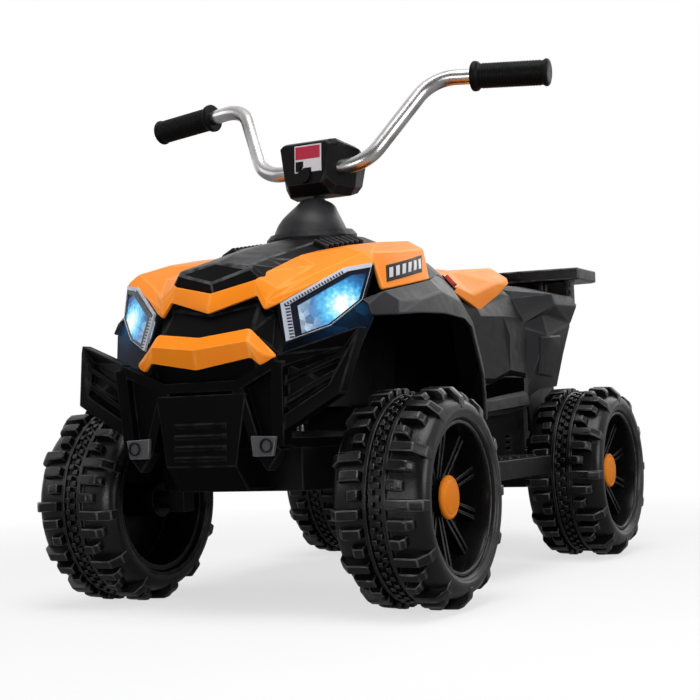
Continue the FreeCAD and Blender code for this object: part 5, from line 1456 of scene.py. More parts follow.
    def badge_bar(self, index: int) -> Plate:
        """One slanted bar of the fender badge.

        Args:
            index: The bar's number, from the front.

        Returns:
            The bar.
        """
        front_foot, rear_foot, rear_top, front_top = (Vector((u, v, 0)) for u, v in self.badge)
        near = (index + self.bar_start_share) / (self.badge_bars + self.bar_margin_share)
        far = near + self.bar_width_share / self.badge_bars
        corners = []
        for along, up in (
            (near, self.bar_foot_share), (far, self.bar_foot_share),
            (far, self.bar_top_share), (near, self.bar_top_share),
        ):
            corner = front_foot.lerp(rear_foot, along).lerp(front_top.lerp(rear_top, along), up)
            corners.append((corner.x, corner.y))
        return Plate(corners, self.bar_height, self.bar_chamfer)

    def add_badges(self) -> None:
        """A dark plate with slanted pale bars on the flank of each front fender."""
        plates, bars = [], []
        for side in Side:
            carrier = Carrier(["front_cowl"], Facing.SIDE, side)
            plates.append((Plate(self.badge, self.badge_height, self.badge_chamfer), carrier))
            bars += [(self.badge_bar(index), carrier) for index in range(self.badge_bars)]
        show_plates("fender_badges", plates, BLACK)
        show_plates("fender_badge_bars", bars, PALE)

    def add_vents(self) -> None:
        """A ribbed vent strip on each side of the boot."""
        for side in Side:
            carrier = Carrier(["hood_block", "front_cowl", "main_body"], Facing.TOP, side)
            start, normal = carrier.hit(*self.vent_from)
            end, _ = carrier.hit(*self.vent_to)
            along = (end - start).normalized()
            across = along.cross(normal).normalized()
            up = across.cross(along).normalized()
            half, thick = across * self.rib_half_length, along * self.rib_half_width
            foot = start - up * self.rib_sink
            outline = [foot - half - thick, foot + half - thick, foot + half + thick, foot - half + thick]
            rib = prism(outline, up * (self.rib_sink + self.rib_height))
            mesh = self.rib_edges.apply(rib, "vent_rib")
            step = (end - start) / (self.vent_ribs - 1)
            values = {"Count": self.vent_ribs, "Step": step, "Material": material_of(BLACK)}
            ribs = RowPattern().grow(f"hood_vent_{side.word}", mesh, values)
            show_piece(f"hood_vent_ribs_{side.word}", ribs, BLACK)

    def add_collar(self) -> None:
        """A low round collar on the hood where the boot stands."""
        x, y = self.collar_centre
        ring = []
        for step in range(self.collar_sides):
            angle = FULL_TURN * step / self.collar_sides
            ring.append((x + self.collar_radius * math.cos(angle), y + self.collar_radius * math.sin(angle)))
        collar = Plate(ring, self.collar_height, self.collar_chamfer)
        show_plates("boot_collar", [(collar, Carrier(["hood_block", "main_body"], Facing.TOP))], BLACK)


@dataclass
class Nose:
    """Grille, nose band, bumper, skid plate and tow brackets."""

    edge: float = 0.0018
    trim_edge: float = 0.0026
    skid_edge: float = 0.001
    bumper_crease: float = 20.0
    skid_crease: float = 14.0
    bracket: Sequence[Flat] = ((0.0545, 0.1622), (0.0800, 0.1612), (0.0765, 0.1440), (0.0560, 0.1440))
    bracket_front: float = -0.3472
    bracket_depth: float = 0.0045
    bracket_edges: EdgeRounding = EdgeRounding(width=0.0008)
    eye: Flat = (0.0705, 0.1535)
    eye_radius: float = 0.0048
    eye_wall: float = 0.0016
    eye_rise: float = 0.0018
    eye_steps: int = 28
    eye_edges: EdgeRounding = EdgeRounding(width=0.0005, crease=30.0)

    def build(self) -> None:
        """Shows the nose pieces and the tow brackets."""
        show_panels(
            # The grille, bumper and skid plate take the darker copy of black plastic as painted shade.
            PanelJob("nose_grille", DEEP, self.edge),
            PanelJob("nose_trim", ORANGE, self.trim_edge),
            PanelJob("bumper_frame", DEEP, self.edge, crease=self.bumper_crease),
            PanelJob("skid_plate", DEEP, self.skid_edge, crease=self.skid_crease),
        )
        for side in Side:
            self.add_bracket(side)

    def add_bracket(self, side: Side) -> None:
        """A grey tow bracket with a ringed eye on a bumper pillar.

        Args:
            side: The pillar's side.
        """
        corners = [Vector((x * side.value, self.bracket_front, z)) for x, z in self.bracket]
        plate = prism(corners, Vector((0, self.bracket_depth, 0)))
        mesh = self.bracket_edges.apply(plate, "bracket")
        show_piece(f"tow_bracket_{side.word}", mesh, BRACKET)
        inner, outer, rise = self.eye_radius, self.eye_radius + self.eye_wall, self.eye_rise
        ring = lathe([(0, inner), (0, outer), (rise, outer), (rise, inner)], self.eye_steps, closed=True)
        x, z = self.eye
        turn = Matrix.Rotation(-QUARTER_TURN, 4, "Z")
        ring.transform(Matrix.Translation((x * side.value, self.bracket_front, z)) @ turn)
        show_piece(f"tow_eye_{side.word}", self.eye_edges.apply(ring, "eye"), BLACK)


@dataclass
class Headlight:
    """One headlight: housing, clear lens, silver strip, dark bezel, lit reflector, bulb and a cheek with a
    painted glow.
    """

    side: Side
    corners: Sequence[Point] = (
        (0.0750, -0.32004, 0.2420), (0.0660, -0.31308, 0.2790), (0.11505, -0.27492, 0.3120),
        (0.13905, -0.25908, 0.3160), (0.13395, -0.27396, 0.2800), (0.10995, -0.29604, 0.2560),
    )
    rim_share: float = 0.94
    housing_edge: float = 0.001
    lens_edge: float = 0.0008
    crease: float = 20.0
    sharp: float = 30.0
    strip: Sequence[float] = (0.0085, 0.0050, 0.0040, 0.0004, 0.0004, 0.0004)
    strip_height: float = 0.0012
    bezel: Sequence[float] = (0.0150, 0.0095, 0.0080, 0.0030, 0.0020, 0.0020)
    bezel_height: float = 0.0006
    frame_sink: float = 0.001
    cheek: Sequence[Point] = (
        (0.0750, -0.3185, 0.2425), (0.1095, -0.2945, 0.2565), (0.1335, -0.2725, 0.2800),
        (0.1430, -0.2740, 0.2640), (0.1330, -0.2900, 0.2300), (0.0700, -0.3210, 0.2210),
    )
    cheek_depth: float = 0.005
    cheek_edges: EdgeRounding = EdgeRounding(width=0.0012)
    tick_edges: Sequence[int] = (0, 1)
    tick_pitch: float = 0.0030
    tick_half: float = 0.0006
    tick_height: float = 0.0009
    tick_lift: float = 0.0008
    tick_foot_share: float = 0.45
    tick_reach_share: float = 0.5
    bowl_rim_share: float = 0.9
    bowl_rings: Sequence[Flat] = ((1.0, 0.0035), (0.72, 0.011), (0.46, 0.0165), (0.0, 0.0195))
    bowl_floor_radius: float = 0.0069
    bowl_points: int = 36
    bowl_ripple: float = 0.0064
    bowl_sharp: float = 8.0
    bulb_radius: float = 0.0052
    bulb_neck: float = 0.003
    bulb_rings: int = 8
    bulb_steps: int = 24
    bulb_sharp: float = 50.0

    def plane(self) -> tuple[list[Vector], Vector, Vector]:
        """The lens outline on its plane.

        Returns:
            The corners, the outward normal and the centre, at this lamp's side.
        """
        points = [Vector(corner) for corner in self.corners]
        normal = (points[0] - points[1]).cross(points[3] - points[1]).normalized()
        if normal.y > 0:
            normal.negate()
        flat = [point - normal * normal.dot(point - points[0]) for point in points]
        sign = self.side.value
        flat = [Vector((point.x * sign, point.y, point.z)) for point in flat]
        centre = sum(flat, Vector((0, 0, 0))) / len(flat)
        ring = [centre + (point - centre) * self.rim_share for point in flat]
        return ring, Vector((normal.x * sign, normal.y, normal.z)), centre

    def build(self) -> None:
        """Shows the lamp's pieces."""
        word = self.side.word
        show_panels(
            PanelJob(f"headlight_housing_{word}", BLACK, self.housing_edge, crease=self.crease),
            PanelJob(f"headlight_lens_{word}", LENS, self.lens_edge, crease=self.crease),
        )
        ring, normal, centre = self.plane()
        self.add_ticks(ring, normal, centre)
        self.add_cheek(normal)
        edge = [0.0] * len(ring)
        strip = self.frame_form(ring, edge, self.strip, normal, self.strip_height)
        bezel = self.frame_form(ring, self.strip, self.bezel, normal, self.bezel_height)
        show_piece(f"lamp_strip_{word}", smoothed(strip, "strip", self.sharp), SILVER)
        show_piece(f"lamp_bezel_{word}", smoothed(bezel, "bezel", self.sharp), NAVY)
        self.add_bowl(ring, normal)
        self.add_bulb(ring, normal)

    def frame_form(
        self, ring: Sequence[Vector], outer: Sequence[float], inner: Sequence[float],
        normal: Vector, height: float,
    ) -> Form:
        """A flat frame on the lens, between two insets of its outline.

        Args:
            ring: The lens outline.
            outer: Inset of the frame's outer edge, for each side of the outline.
            inner: Inset of its inner edge.
            normal: Outward normal of the lens.
            height: Height over the lens.

        Returns:
            The frame, with its faces outward.
        """
        first, second = inset(ring, outer), inset(ring, inner)
        form = bmesh.new()
        rings = []
        sunk = -self.frame_sink
        for line, level in ((first, sunk), (first, height), (second, height), (second, sunk)):
            rings.append([form.verts.new(point + normal * level) for point in line])
        skin(form, rings, closed=True)
        return outward(form)

    def add_ticks(self, ring: Sequence[Vector], normal: Vector, centre: Vector) -> None:
        """Dark ticks on the silver strip, along the lamp's inner and upper edges.

        Args:
            ring: The lens outline.
            normal: Its outward normal.
            centre: Its middle.
        """
        rows = []
        for index in self.tick_edges:
            start, end, width = ring[index], ring[index + 1], self.strip[index]
            along = (end - start).normalized()
            inward = normal.cross(along)
            if inward.dot(centre - start) < 0:
                inward.negate()
            foot = start + along * self.tick_pitch + inward * width * self.tick_foot_share
            foot += normal * self.tick_lift
            half, reach = along * self.tick_half, inward * width * self.tick_reach_share
            outline = [foot - half, foot + half, foot + half + reach, foot - half + reach]
            tick = smoothed(prism(outline, normal * self.tick_height), "tick", self.sharp)
            count = int((end - start).length / self.tick_pitch) - 1
            values = {"Count": count, "Step": along * self.tick_pitch, "Material": material_of(NAVY)}
            rows.append(RowPattern().grow("tick_row", tick, values))
        show_piece(f"lamp_ticks_{self.side.word}", merged(rows, "ticks"), NAVY)

    def add_cheek(self, normal: Vector) -> None:
        """A dark panel under the lens that closes the way to the bumper, with a painted glow of the lamp's
        light.

        Args:
            normal: The lens's outward normal.
        """
        corners = [Vector((x * self.side.value, y, z)) for x, y, z in self.cheek]
        panel = prism(corners, -normal * self.cheek_depth)
        mesh = self.cheek_edges.apply(panel, "cheek")
        show_piece(f"lamp_cheek_{self.side.word}", mesh, CHEEK_PAINTED_GLOW)

    def bulb_place(self, ring: Sequence[Vector], normal: Vector) -> Vector:
        """Where the lit point lies on the lens plane."""
        place = Vector((LED_PLACE[0] * self.side.value, LED_PLACE[1], LED_PLACE[2]))
        return place - normal * normal.dot(place - ring[0])

    def add_bowl(self, ring: Sequence[Vector], normal: Vector) -> None:
        """The faceted reflector behind the lens.

        Args:
            ring: The lens outline.
            normal: Its outward normal.
        """
        aim = self.bulb_place(ring, normal)
        points = self.spread(inset(ring, [width * self.bowl_rim_share for width in self.bezel]))
        form = bmesh.new()
        rings = []
        for share, depth in self.bowl_rings:
            line = []
            for index, point in enumerate(points):
                base = aim + (point - aim).normalized() * self.bowl_floor_radius
                ripple = self.bowl_ripple * (index % 2) * (1 - share) * share
                line.append(form.verts.new(base.lerp(point, share) - normal * (depth - ripple)))
            rings.append(line)
        skin(form, rings)
        form.faces.new(rings[-1])
        outward(form)
        for face in form.faces:
            if face.normal.dot(normal) < 0:
                face.normal_flip()
        mesh = smoothed(form, "bowl", self.bowl_sharp)
        show_piece(f"lamp_reflector_{self.side.word}", mesh, REFLECTOR)

    def add_bulb(self, ring: Sequence[Vector], normal: Vector) -> None:
        """The round bulb at the bottom of the reflector.

        Args:
            ring: The lens outline.
            normal: Its outward normal.
        """
        radius, floor = self.bulb_radius, self.bowl_rings[-1][1]
        profile = [(0.0, 0.0), (0.0, radius)]
        for step in range(1, self.bulb_rings + 1):
            angle = QUARTER_TURN * step / self.bulb_rings
            profile.append((self.bulb_neck + radius * math.sin(angle), radius * math.cos(angle)))
        bulb = lathe(profile, self.bulb_steps)
        place = self.bulb_place(ring, normal) - normal * floor
        bulb.transform(Matrix.Translation(place) @ from_x_axis(normal))
        mesh = smoothed(bulb, "bulb", self.bulb_sharp)
        show_piece(f"lamp_bulb_{self.side.word}", mesh, BULB, "chassis", ["headlight_leds"])

    def spread(self, rim: Sequence[Vector]) -> list[Vector]:
        """Points spaced evenly along a closed outline.

        Args:
            rim: The outline's corners.

        Returns:
            The points, with the corners among them.
        """
        lengths = [(rim[(index + 1) % len(rim)] - rim[index]).length for index in range(len(rim))]
        points = []
        for index, length in enumerate(lengths):
            count = max(2, round(self.bowl_points * length / sum(lengths)))
            for step in range(count):
                points.append(rim[index].lerp(rim[(index + 1) % len(rim)], step / count))
        return points


@dataclass(frozen=True)
class SpokeEnd:
    """One end of a spoke: its distance from the axle, its shift to the side, its top and its half width."""

    radius: float
    aside: float
    top: float
    half: float

    def corners(self, root: float, hand: int, top_share: float) -> list[Vector]:
        """The four corners of the spoke's section at this end.

        Args:
            root: Where the spoke stands on the dish.
            hand: 1 or -1 for the way that it is shifted.
            top_share: The top's width as a share of the root's.

        Returns:
            The corners, the root's two first.
        """
        middle, narrow = self.aside * hand, self.half * top_share
        places = (
            (root, middle - self.half), (root, middle + self.half),
            (self.top, middle + narrow), (self.top, middle - narrow),
        )
        return [Vector((x, y, self.radius)) for x, y in places]


@dataclass
class Wheel:
    """One wheel: tyre with lugs, rim with paired spokes, hub cap."""

    end: End
    side: Side
    offset: float = 0.163
    axle_height: float = 0.1
    half_width: float = 0.046
    rim_radius: float = 0.070
    crown: float = 0.091
    bead_share: float = 0.87
    wall_shares: Sequence[Flat] = (
        (0.90, 0.02), (0.955, 0.10), (0.965, 0.2), (0.99, 0.25), (1.0, 0.42), (0.99, 0.58), (0.95, 0.74),
        (0.87, 0.87), (0.74, 0.95), (0.5, 0.985), (0.25, 1.0),
    )
    ridge_shares: Sequence[Flat] = ((0.245, 0.36), (0.235, 0.44), (0.165, 0.44), (0.155, 0.36), (0.145, 0.0))
    tyre_steps: int = 96
    tyre_edges: EdgeRounding = EdgeRounding(width=0.0008, crease=28.0)
    lug_height: float = 0.009
    lug_count: int = 36
    lug_fill_share: float = 0.62
    lug_stations: Sequence[float] = (-1.0, -0.33, 0.33, 1.0)
    lug_top_share: float = 0.86
    lug_root_share: float = 1.08
    lug_top_from: float = 0.2
    lug_lean_share: float = 0.35
    lug_lean_from: float = 0.5
    hand_phases: Sequence[tuple[int, float]] = ((1, 0.0), (-1, 0.5))
    lug_edges: EdgeRounding = EdgeRounding(width=0.0011, crease=24.0, segments=1)
    lug_shares: Sequence[Sequence[Flat]] = (
        (
            (0.29, 1.0), (0.5, 0.98), (0.76, 0.93), (0.97, -0.1), (1.01, -1.3), (0.92, -1.3), (0.8, -0.9),
            (0.29, -0.5),
        ),
        ((0.29, 1.0), (0.5, 0.98), (0.68, 0.93), (0.78, 0.4), (0.80, -0.7), (0.29, -0.5)),
        ((0.29, 1.0), (0.5, 1.0), (0.58, 0.5), (0.60, -0.5), (0.29, -0.5)),
    )
    knob_count: int = 54
    knob_root: Flat = (0.0004, 0.0058)
    knob_top: Flat = (0.0008, 0.0054)
    knob_sink: float = 0.001
    knob_height: float = 0.0046
    knob_half_angle: float = 0.026
    knob_edges: EdgeRounding = EdgeRounding(width=0.0005, crease=24.0, segments=1)
    dish: Sequence[Flat] = (
        (-0.040, 0.0052), (-0.040, 0.017), (0.002, 0.017), (0.002, 0.065), (-0.040, 0.065), (-0.040, 0.070),
        (0.040, 0.070), (0.0412, 0.0690), (0.0412, 0.0668), (0.0385, 0.065), (0.030, 0.0640),
        (0.008, 0.0630), (0.006, 0.0610), (0.006, 0.0185), (0.0255, 0.0172), (0.026, 0.0165),
        (0.026, 0.0097), (0.018, 0.0095), (0.018, 0.0052),
    )
    dish_steps: int = 80
    dish_edges: EdgeRounding = EdgeRounding(width=0.0007, crease=30.0)
    spoke_count: int = 10
    spoke_root: float = 0.004
    spoke_edges: EdgeRounding = EdgeRounding(width=0.0006, crease=24.0)
    rib_ends: Sequence[SpokeEnd] = (
        SpokeEnd(radius=0.016, aside=0.0030, top=0.0185, half=0.0017),
        SpokeEnd(radius=0.064, aside=0.0036, top=0.0265, half=0.0023),
    )
    rib_top_share: float = 0.7
    web_ends: Sequence[SpokeEnd] = (
        SpokeEnd(radius=0.016, aside=0.0, top=0.0125, half=0.0028),
        SpokeEnd(radius=0.064, aside=0.0, top=0.0185, half=0.0034),
    )
    web_top_share: float = 1.0
    cap_radius: float = 0.020
    cap_face: float = 0.026
    cap_shape: Sequence[Flat] = (
        (0.0, 0.0), (0.0, 0.97), (0.0006, 1.0), (0.0022, 1.0), (0.0034, 0.965), (0.0042, 0.9), (0.0046, 0.84),
        (0.0041, 0.80), (0.0041, 0.77), (0.0050, 0.73), (0.0058, 0.55), (0.0062, 0.28), (0.0064, 0.0),
    )
    cap_steps: int = 56
    cap_edges: EdgeRounding = EdgeRounding(width=0.0004, crease=34.0)

    @property
    def word(self) -> str:
        """The wheel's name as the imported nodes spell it."""
        return f"{self.end.word}_{self.side.word}"

    def build(self) -> None:
        """Shows the tyre, the rim and the cap."""
        self.show("tyre", self.tyre(), TYRE)
        self.show("rim", self.rim(), RIM)
        self.show("hub_cap", self.cap(), ORANGE)

    def show(self, kind: str, mesh: Mesh, finish: Finish) -> None:
        """Moves a mesh from the wheel's own axis to its place on the bike, and shows it there.

        Args:
            kind: The piece's name without the wheel's.
            mesh: A mesh round the X axis, with the wheel's face outward.
            finish: Its finish.
        """
        place = (self.side.value * self.offset, self.end.value, self.axle_height)
        mesh.transform(Matrix.Translation(place))
        node = f"{kind}_{self.word}"
        show_piece(f"{node}_finished", mesh, finish, f"wheel_{self.word}", [node])

    def turned(self, profile: Sequence[Flat], steps: int, closed: bool = False) -> Form:
        """A form turned round the axle, with its face outward on this side."""
        return lathe([(x * self.side.value, radius) for x, radius in profile], steps, closed)

    def carcass(self) -> Mesh:
        """The tyre without its lugs: rounded sides, a bead ring and twin centre ridges.

        Returns:
            The carcass's mesh.
        """
        half, rim, rise = self.half_width, self.rim_radius, self.crown - self.rim_radius
        profile = [(half * self.bead_share, rim)]
        profile += [(share * half, rim + height * rise) for share, height in self.wall_shares]
        for share, height in self.ridge_shares:
            profile.append((share * half, self.crown + height * self.lug_height))
        profile += [(-x, radius) for x, radius in reversed(profile)]
        return self.tyre_edges.apply(self.turned(profile, self.tyre_steps, closed=True), "carcass")

    def lug(self, section: Sequence[Flat], hand: int) -> Mesh:
        """One lug at the bottom of the tyre, narrower at its top than at its root.

        Args:
            section: Its section as shares of the half width and of the lug height over the crown.
            hand: 1 for the outer side of the tyre, -1 for the inner side.

        Returns:
            The lug's mesh.
        """
        half_angle = math.pi / self.lug_count * self.lug_fill_share
        form = bmesh.new()
        rows = []
        for station in self.lug_stations:
            row = []
            for share, height in section:
                radius = self.crown + height * self.lug_height
                draft = self.lug_top_share if height > self.lug_top_from else self.lug_root_share
                lean = self.lug_lean_share * (share - self.lug_lean_from) * half_angle
                angle = station * half_angle * draft + lean
                x = hand * self.side.value * share * self.half_width
                row.append(form.verts.new((x, radius * math.sin(angle), -radius * math.cos(angle))))
            rows.append(row)
        skin(form, rows)
        form.faces.new(rows[0])
        form.faces.new(list(reversed(rows[-1])))
        return self.lug_edges.apply(outward(form), "lug")

    def knob(self, hand: int) -> Mesh:
        """A small block beside the centre groove.

        Args:
            hand: 1 for the outer side of the tyre, -1 for the inner side.

        Returns:
            The block's mesh.
        """
        low, high = self.crown - self.knob_sink, self.crown + self.knob_height
        (root_start, root_end), (top_start, top_end) = self.knob_root, self.knob_top
        outline = []
        for x, radius in ((root_start, low), (root_end, low), (top_end, high), (top_start, high)):
            outline.append(Vector((hand * self.side.value * x, -radius * self.knob_half_angle, -radius)))
        form = prism(outline, Vector((0, 2 * self.crown * self.knob_half_angle, 0)))
        return self.knob_edges.apply(form, "knob")

    def tyre(self) -> Mesh:
        """The tyre with its lugs and knobs.

        Returns:
            The tyre's mesh, round the X axis.
        """
        parts = [self.carcass()]
        copies = self.lug_count // len(self.lug_shares)
        for hand, phase in self.hand_phases:
            for index, section in enumerate(self.lug_shares):
                angle = FULL_TURN / self.lug_count * (phase + index)
                parts.append(self.round_axle("lugs", self.lug(section, hand), copies, angle, TYRE))
            angle = phase * FULL_TURN / self.knob_count
            parts.append(self.round_axle("knobs", self.knob(hand), self.knob_count, angle, TYRE))
        return merged(parts, "tyre")

    def round_axle(self, name: str, mesh: Mesh, count: int, phase: float, finish: Finish) -> Mesh:
        """Copies of a mesh round the axle.

        Args:
            name: Name of the result.
            mesh: The mesh to repeat.
            count: How many copies there are.
            phase: Angle of the first copy.
            finish: Their finish.

        Returns:
            One mesh of all the copies.
        """
        values = {"Count": count, "Phase": phase, "Material": material_of(finish)}
        return RingPattern().grow(name, mesh, values)

    def rim(self) -> Mesh:
        """The rim with its paired spokes.

        Returns:
            The rim's mesh, round the X axis.
        """
        parts = [self.dish_edges.apply(self.turned(self.dish, self.dish_steps, closed=True), "dish")]
        spokes = (
            (self.rib_ends, -1, self.rib_top_share),
            (self.rib_ends, 1, self.rib_top_share),
            (self.web_ends, 1, self.web_top_share),
        )
        flip = Matrix.Diagonal((self.side.value, 1, 1))
        for ends, hand, share in spokes:
            sections = [end.corners(self.spoke_root, hand, share) for end in ends]
            near, far = ([flip @ corner for corner in section] for section in sections)
            spoke = self.spoke_edges.apply(loft(near, far), "spoke")
            parts.append(self.round_axle("spokes", spoke, self.spoke_count, 0.0, RIM))
        return merged(parts, "rim")

    def cap(self) -> Mesh:
        """The orange cap, a low dome with a ring groove.

        Returns:
            The cap's mesh, round the X axis.
        """
        profile = [(self.cap_face + height, self.cap_radius * share) for height, share in self.cap_shape]
        return self.cap_edges.apply(self.turned(profile, self.cap_steps), "cap")


@dataclass
class SteeringHead:
    """Chrome bar, ribbed grips, console with its plate and button, column and boot."""

    console_edge: float = 0.0026
    console_crease: float = 14.0
    console_segments: int = 3
    button_edge: float = 0.0008
    column_edge: float = 0.0006
    bush_edge: float = 0.0005
    round_crease: float = 30.0
    bush_crease: float = 34.0
    bar_radius: float = 0.008
    bar_sides: int = 64
    bend_steps: int = 24
    bar_setback: float = 0.006
    bar_sharp: float = 40.0
    path: Sequence[BarCorner] = (
        (0.061, -0.118, 0.434, 0.038),
        (0.116, -0.0654, 0.5244, 0.042),
        (0.240, -0.0529, 0.515, 0.0),
    )
    grip_length: float = 0.081
    grip_radius: float = 0.013
    grip_tip: Sequence[Flat] = (
        (0.0, 0.0), (0.0, 0.8), (0.0008, 0.98), (0.0022, 1.077), (0.0042, 1.077), (0.0056, 0.99),
        (0.0070, 0.955),
    )
    grip_flange: Sequence[Flat] = (
        (0.010, 0.955), (0.0075, 1.0), (0.0058, 1.15), (0.004, 1.192), (0.0014, 1.192), (0.0, 1.12),
    )
    grip_bore: float = 0.0081
    grip_floor: float = 0.005
    grip_steps: int = 48
    grip_edges: EdgeRounding = EdgeRounding(width=0.0004, crease=34.0)
    rib_shape: Sequence[Flat] = ((0.0, 0.95), (0.0003, 1.0), (0.0015, 1.0), (0.0018, 0.95))
    rib_start: float = 0.0095
    rib_count: int = 20
    rib_pitch: float = 0.0031
    rib_steps: int = 40
    rib_edges: EdgeRounding = EdgeRounding(width=0.0002, crease=40.0, segments=1)
    plate: Plate = Plate(
        outline=((-0.0115, 0.4290), (0.0200, 0.4290), (0.0200, 0.4575), (-0.0115, 0.4575)),
        height=0.0006, chamfer=0.0002,
    )
    band: Plate = Plate(
        outline=((-0.0102, 0.4430), (0.0187, 0.4430), (0.0187, 0.4562), (-0.0102, 0.4562)),
        height=0.0009, chamfer=0.0002,
    )
    key: Plate = Plate(
        outline=((-0.0102, 0.4303), (-0.0010, 0.4303), (-0.0010, 0.4408), (-0.0102, 0.4408)),
        height=0.0009, chamfer=0.0002,
    )
    column_axis: Point = (0.0, 0.36866, 0.92956)
    boot_place: Point = (0.0, -0.1249, 0.365)
    boot_wall: float = 0.0025
    boot: Sequence[Flat] = (
        (-0.026, 0.0405), (-0.006, 0.0395), (0.001, 0.0380), (0.008, 0.0352), (0.014, 0.0317),
        (0.020, 0.0279), (0.026, 0.0240), (0.031, 0.0210), (0.0335, 0.0198),
    )
    boot_steps: int = 72
    boot_edges: EdgeRounding = EdgeRounding(width=0.0008, crease=40.0)

    def build(self) -> None:
        """Shows the whole steering head."""
        box = {"crease": self.console_crease, "segments": self.console_segments}
        show_panels(
            PanelJob("console_front", BLACK, self.console_edge, **box),
            PanelJob("console_back", BLACK, self.console_edge, **box),
            PanelJob("horn_button", BLACK, self.button_edge, crease=self.round_crease),
            PanelJob("steering_column", STEEL, self.column_edge, crease=self.round_crease),
            PanelJob("column_bush", BLACK, self.bush_edge, crease=self.bush_crease),
        )
        self.build_bar()
        for side in Side:
            self.build_grip(side)
        self.build_plate()
        self.build_boot()

    def build_boot(self) -> None:
        """Shows the boot: a smooth cone that flares where it meets the hood."""
        profile = list(self.boot)
        profile += [(height, radius - self.boot_wall) for height, radius in reversed(self.boot)]
        form = lathe(profile, self.boot_steps, closed=True)
        form.transform(Matrix.Translation(self.boot_place) @ from_x_axis(Vector(self.column_axis)))
        mesh = self.boot_edges.apply(form, "boot")
        show_piece("steering_boot_finished", mesh, GREY, body_of("steering_boot"), ["steering_boot"])

    def build_bar(self) -> None:
        """Shows the bent tube."""
        half = list(self.path)
        corners = [(-x, y, z, bend) for x, y, z, bend in reversed(half)] + half
        corners[0] = self.pulled_in(corners[0], corners[1])
        corners[-1] = self.pulled_in(corners[-1], corners[-2])
        mesh = bpy.data.meshes.new("bar_path")
        edges = [(index, index + 1) for index in range(len(corners) - 1)]
        mesh.from_pydata([corner[:3] for corner in corners], edges, [])
        bends = mesh.attributes.new(BEND_NAME, "FLOAT", "POINT")
        bends.data.foreach_set("value", [corner[3] for corner in corners])
        values = {
            "Radius": self.bar_radius, "Sides": self.bar_sides, "Bend Steps": self.bend_steps,
            "Material": material_of(CHROME),
        }
        tube = TubePattern().grow("bar", mesh, values)
        tube.shade_smooth()
        tube.set_sharp_from_angle(angle=math.radians(self.bar_sharp))
        show_piece("handlebar_finished", tube, CHROME, "steering", ["handlebar"])

    def pulled_in(self, tip: BarCorner, inward: BarCorner) -> BarCorner:
        """The bar's end, drawn back inside the grip's closed end.

        Args:
            tip: The end of the path.
            inward: The point before it.

        Returns:
            The new end, with no bend.
        """
        place = Vector(tip[:3])
        place += (Vector(inward[:3]) - place).normalized() * self.bar_setback
        return (place.x, place.y, place.z, 0.0)

    def build_grip(self, side: Side) -> None:
        """Shows one grip: a turned body with a flange, an end bead and ring ribs.

        Args:
            side: The grip's side.
        """
        end, shoulder = Vector(self.path[2][:3]), Vector(self.path[1][:3])
        end.x, shoulder.x = end.x * side.value, shoulder.x * side.value
        inward = (shoulder - end).normalized()
        place = Matrix.Translation(end) @ from_x_axis(inward)
        length, radius = self.grip_length, self.grip_radius
        profile = [(x, radius * share) for x, share in self.grip_tip]
        profile += [(length - x, radius * share) for x, share in self.grip_flange]
        profile += [(length, self.grip_bore), (self.grip_floor, self.grip_bore), (self.grip_floor, 0.0)]
        body = lathe(profile, self.grip_steps)
        body.transform(place)
        ring = lathe([(x, radius * share) for x, share in self.rib_shape], self.rib_steps, closed=True)
        ring.transform(place @ Matrix.Translation((self.rib_start, 0, 0)))
        rib = self.rib_edges.apply(ring, "grip_rib")
        values = {"Count": self.rib_count, "Step": inward * self.rib_pitch, "Material": material_of(GRIP)}
        parts = [self.grip_edges.apply(body, "grip_body"), RowPattern().grow("grip_ribs", rib, values)]
        node = f"grip_{side.word}"
        show_piece(f"{node}_finished", merged(parts, "grip"), GRIP, "steering", [node])

    def build_plate(self) -> None:
        """Shows the console's plain plate: a pale field, a crimson band and a dark key field."""
        carrier = Carrier(["console_front"], Facing.FRONT)
        show_plates("console_plate", [(self.plate, carrier)], PALE, "steering")
        show_plates("console_plate_band", [(self.band, carrier)], CRIMSON, "steering")
        show_plates("console_plate_key", [(self.key, carrier)], BLACK, "steering")


@dataclass
class RunningGear:
    """Tub, footboards, beams, linkage, drive, pedal and switch."""

    case_edge: float = 0.0016
    edge: float = 0.0012
    switch_edge: float = 0.0009
    small_edge: float = 0.0008
    fine_edge: float = 0.0006
    nut_edge: float = 0.0005
    tooth_edge: float = 0.0002
    smooth: float = 30.0
    boxy: float = 16.0

    def build(self) -> None:
        """Shows every piece of the running gear."""
        groups = (
            (CHARCOAL, self.case_edge, self.boxy, ["chassis_tub"]),
            (BLACK, self.edge, self.boxy, ["footboard_left", "footboard_right", "front_frame"]),
            (BLACK, self.edge, self.smooth, ["front_axle_beam", "rear_axle_beam"]),
            (STEEL, self.fine_edge, self.smooth, ["rear_axle"]),
            (BLACK, self.small_edge, self.smooth, ["knuckle_left", "knuckle_right"]),
            (STEEL, self.small_edge, self.smooth, ["tie_rod"]),
            (STEEL, self.nut_edge, self.smooth, ["axle_nut_left", "axle_nut_right", "axle_nuts_rear"]),
            (GREY, self.case_edge, self.boxy, ["battery"]),
            (GREY, self.small_edge, self.smooth, ["gearbox_case"]),
            (STEEL, self.small_edge, self.smooth, ["drive_motor"]),
            (NYLON, self.tooth_edge, self.smooth, ["drive_gear"]),
            (STEEL, self.tooth_edge, self.smooth, ["motor_pinion"]),
            (GREY, self.edge, self.boxy, ["foot_pedal"]),
            (BLACK, self.fine_edge, self.boxy, ["switch_frame"]),
            (RED, self.switch_edge, self.boxy, ["rocker_switch"]),
            (STEEL, self.fine_edge, self.smooth, ["body_screws"]),
        )
        for finish, width, crease, nodes in groups:
            show_panels(*(PanelJob(node, finish, width, crease) for node in nodes))


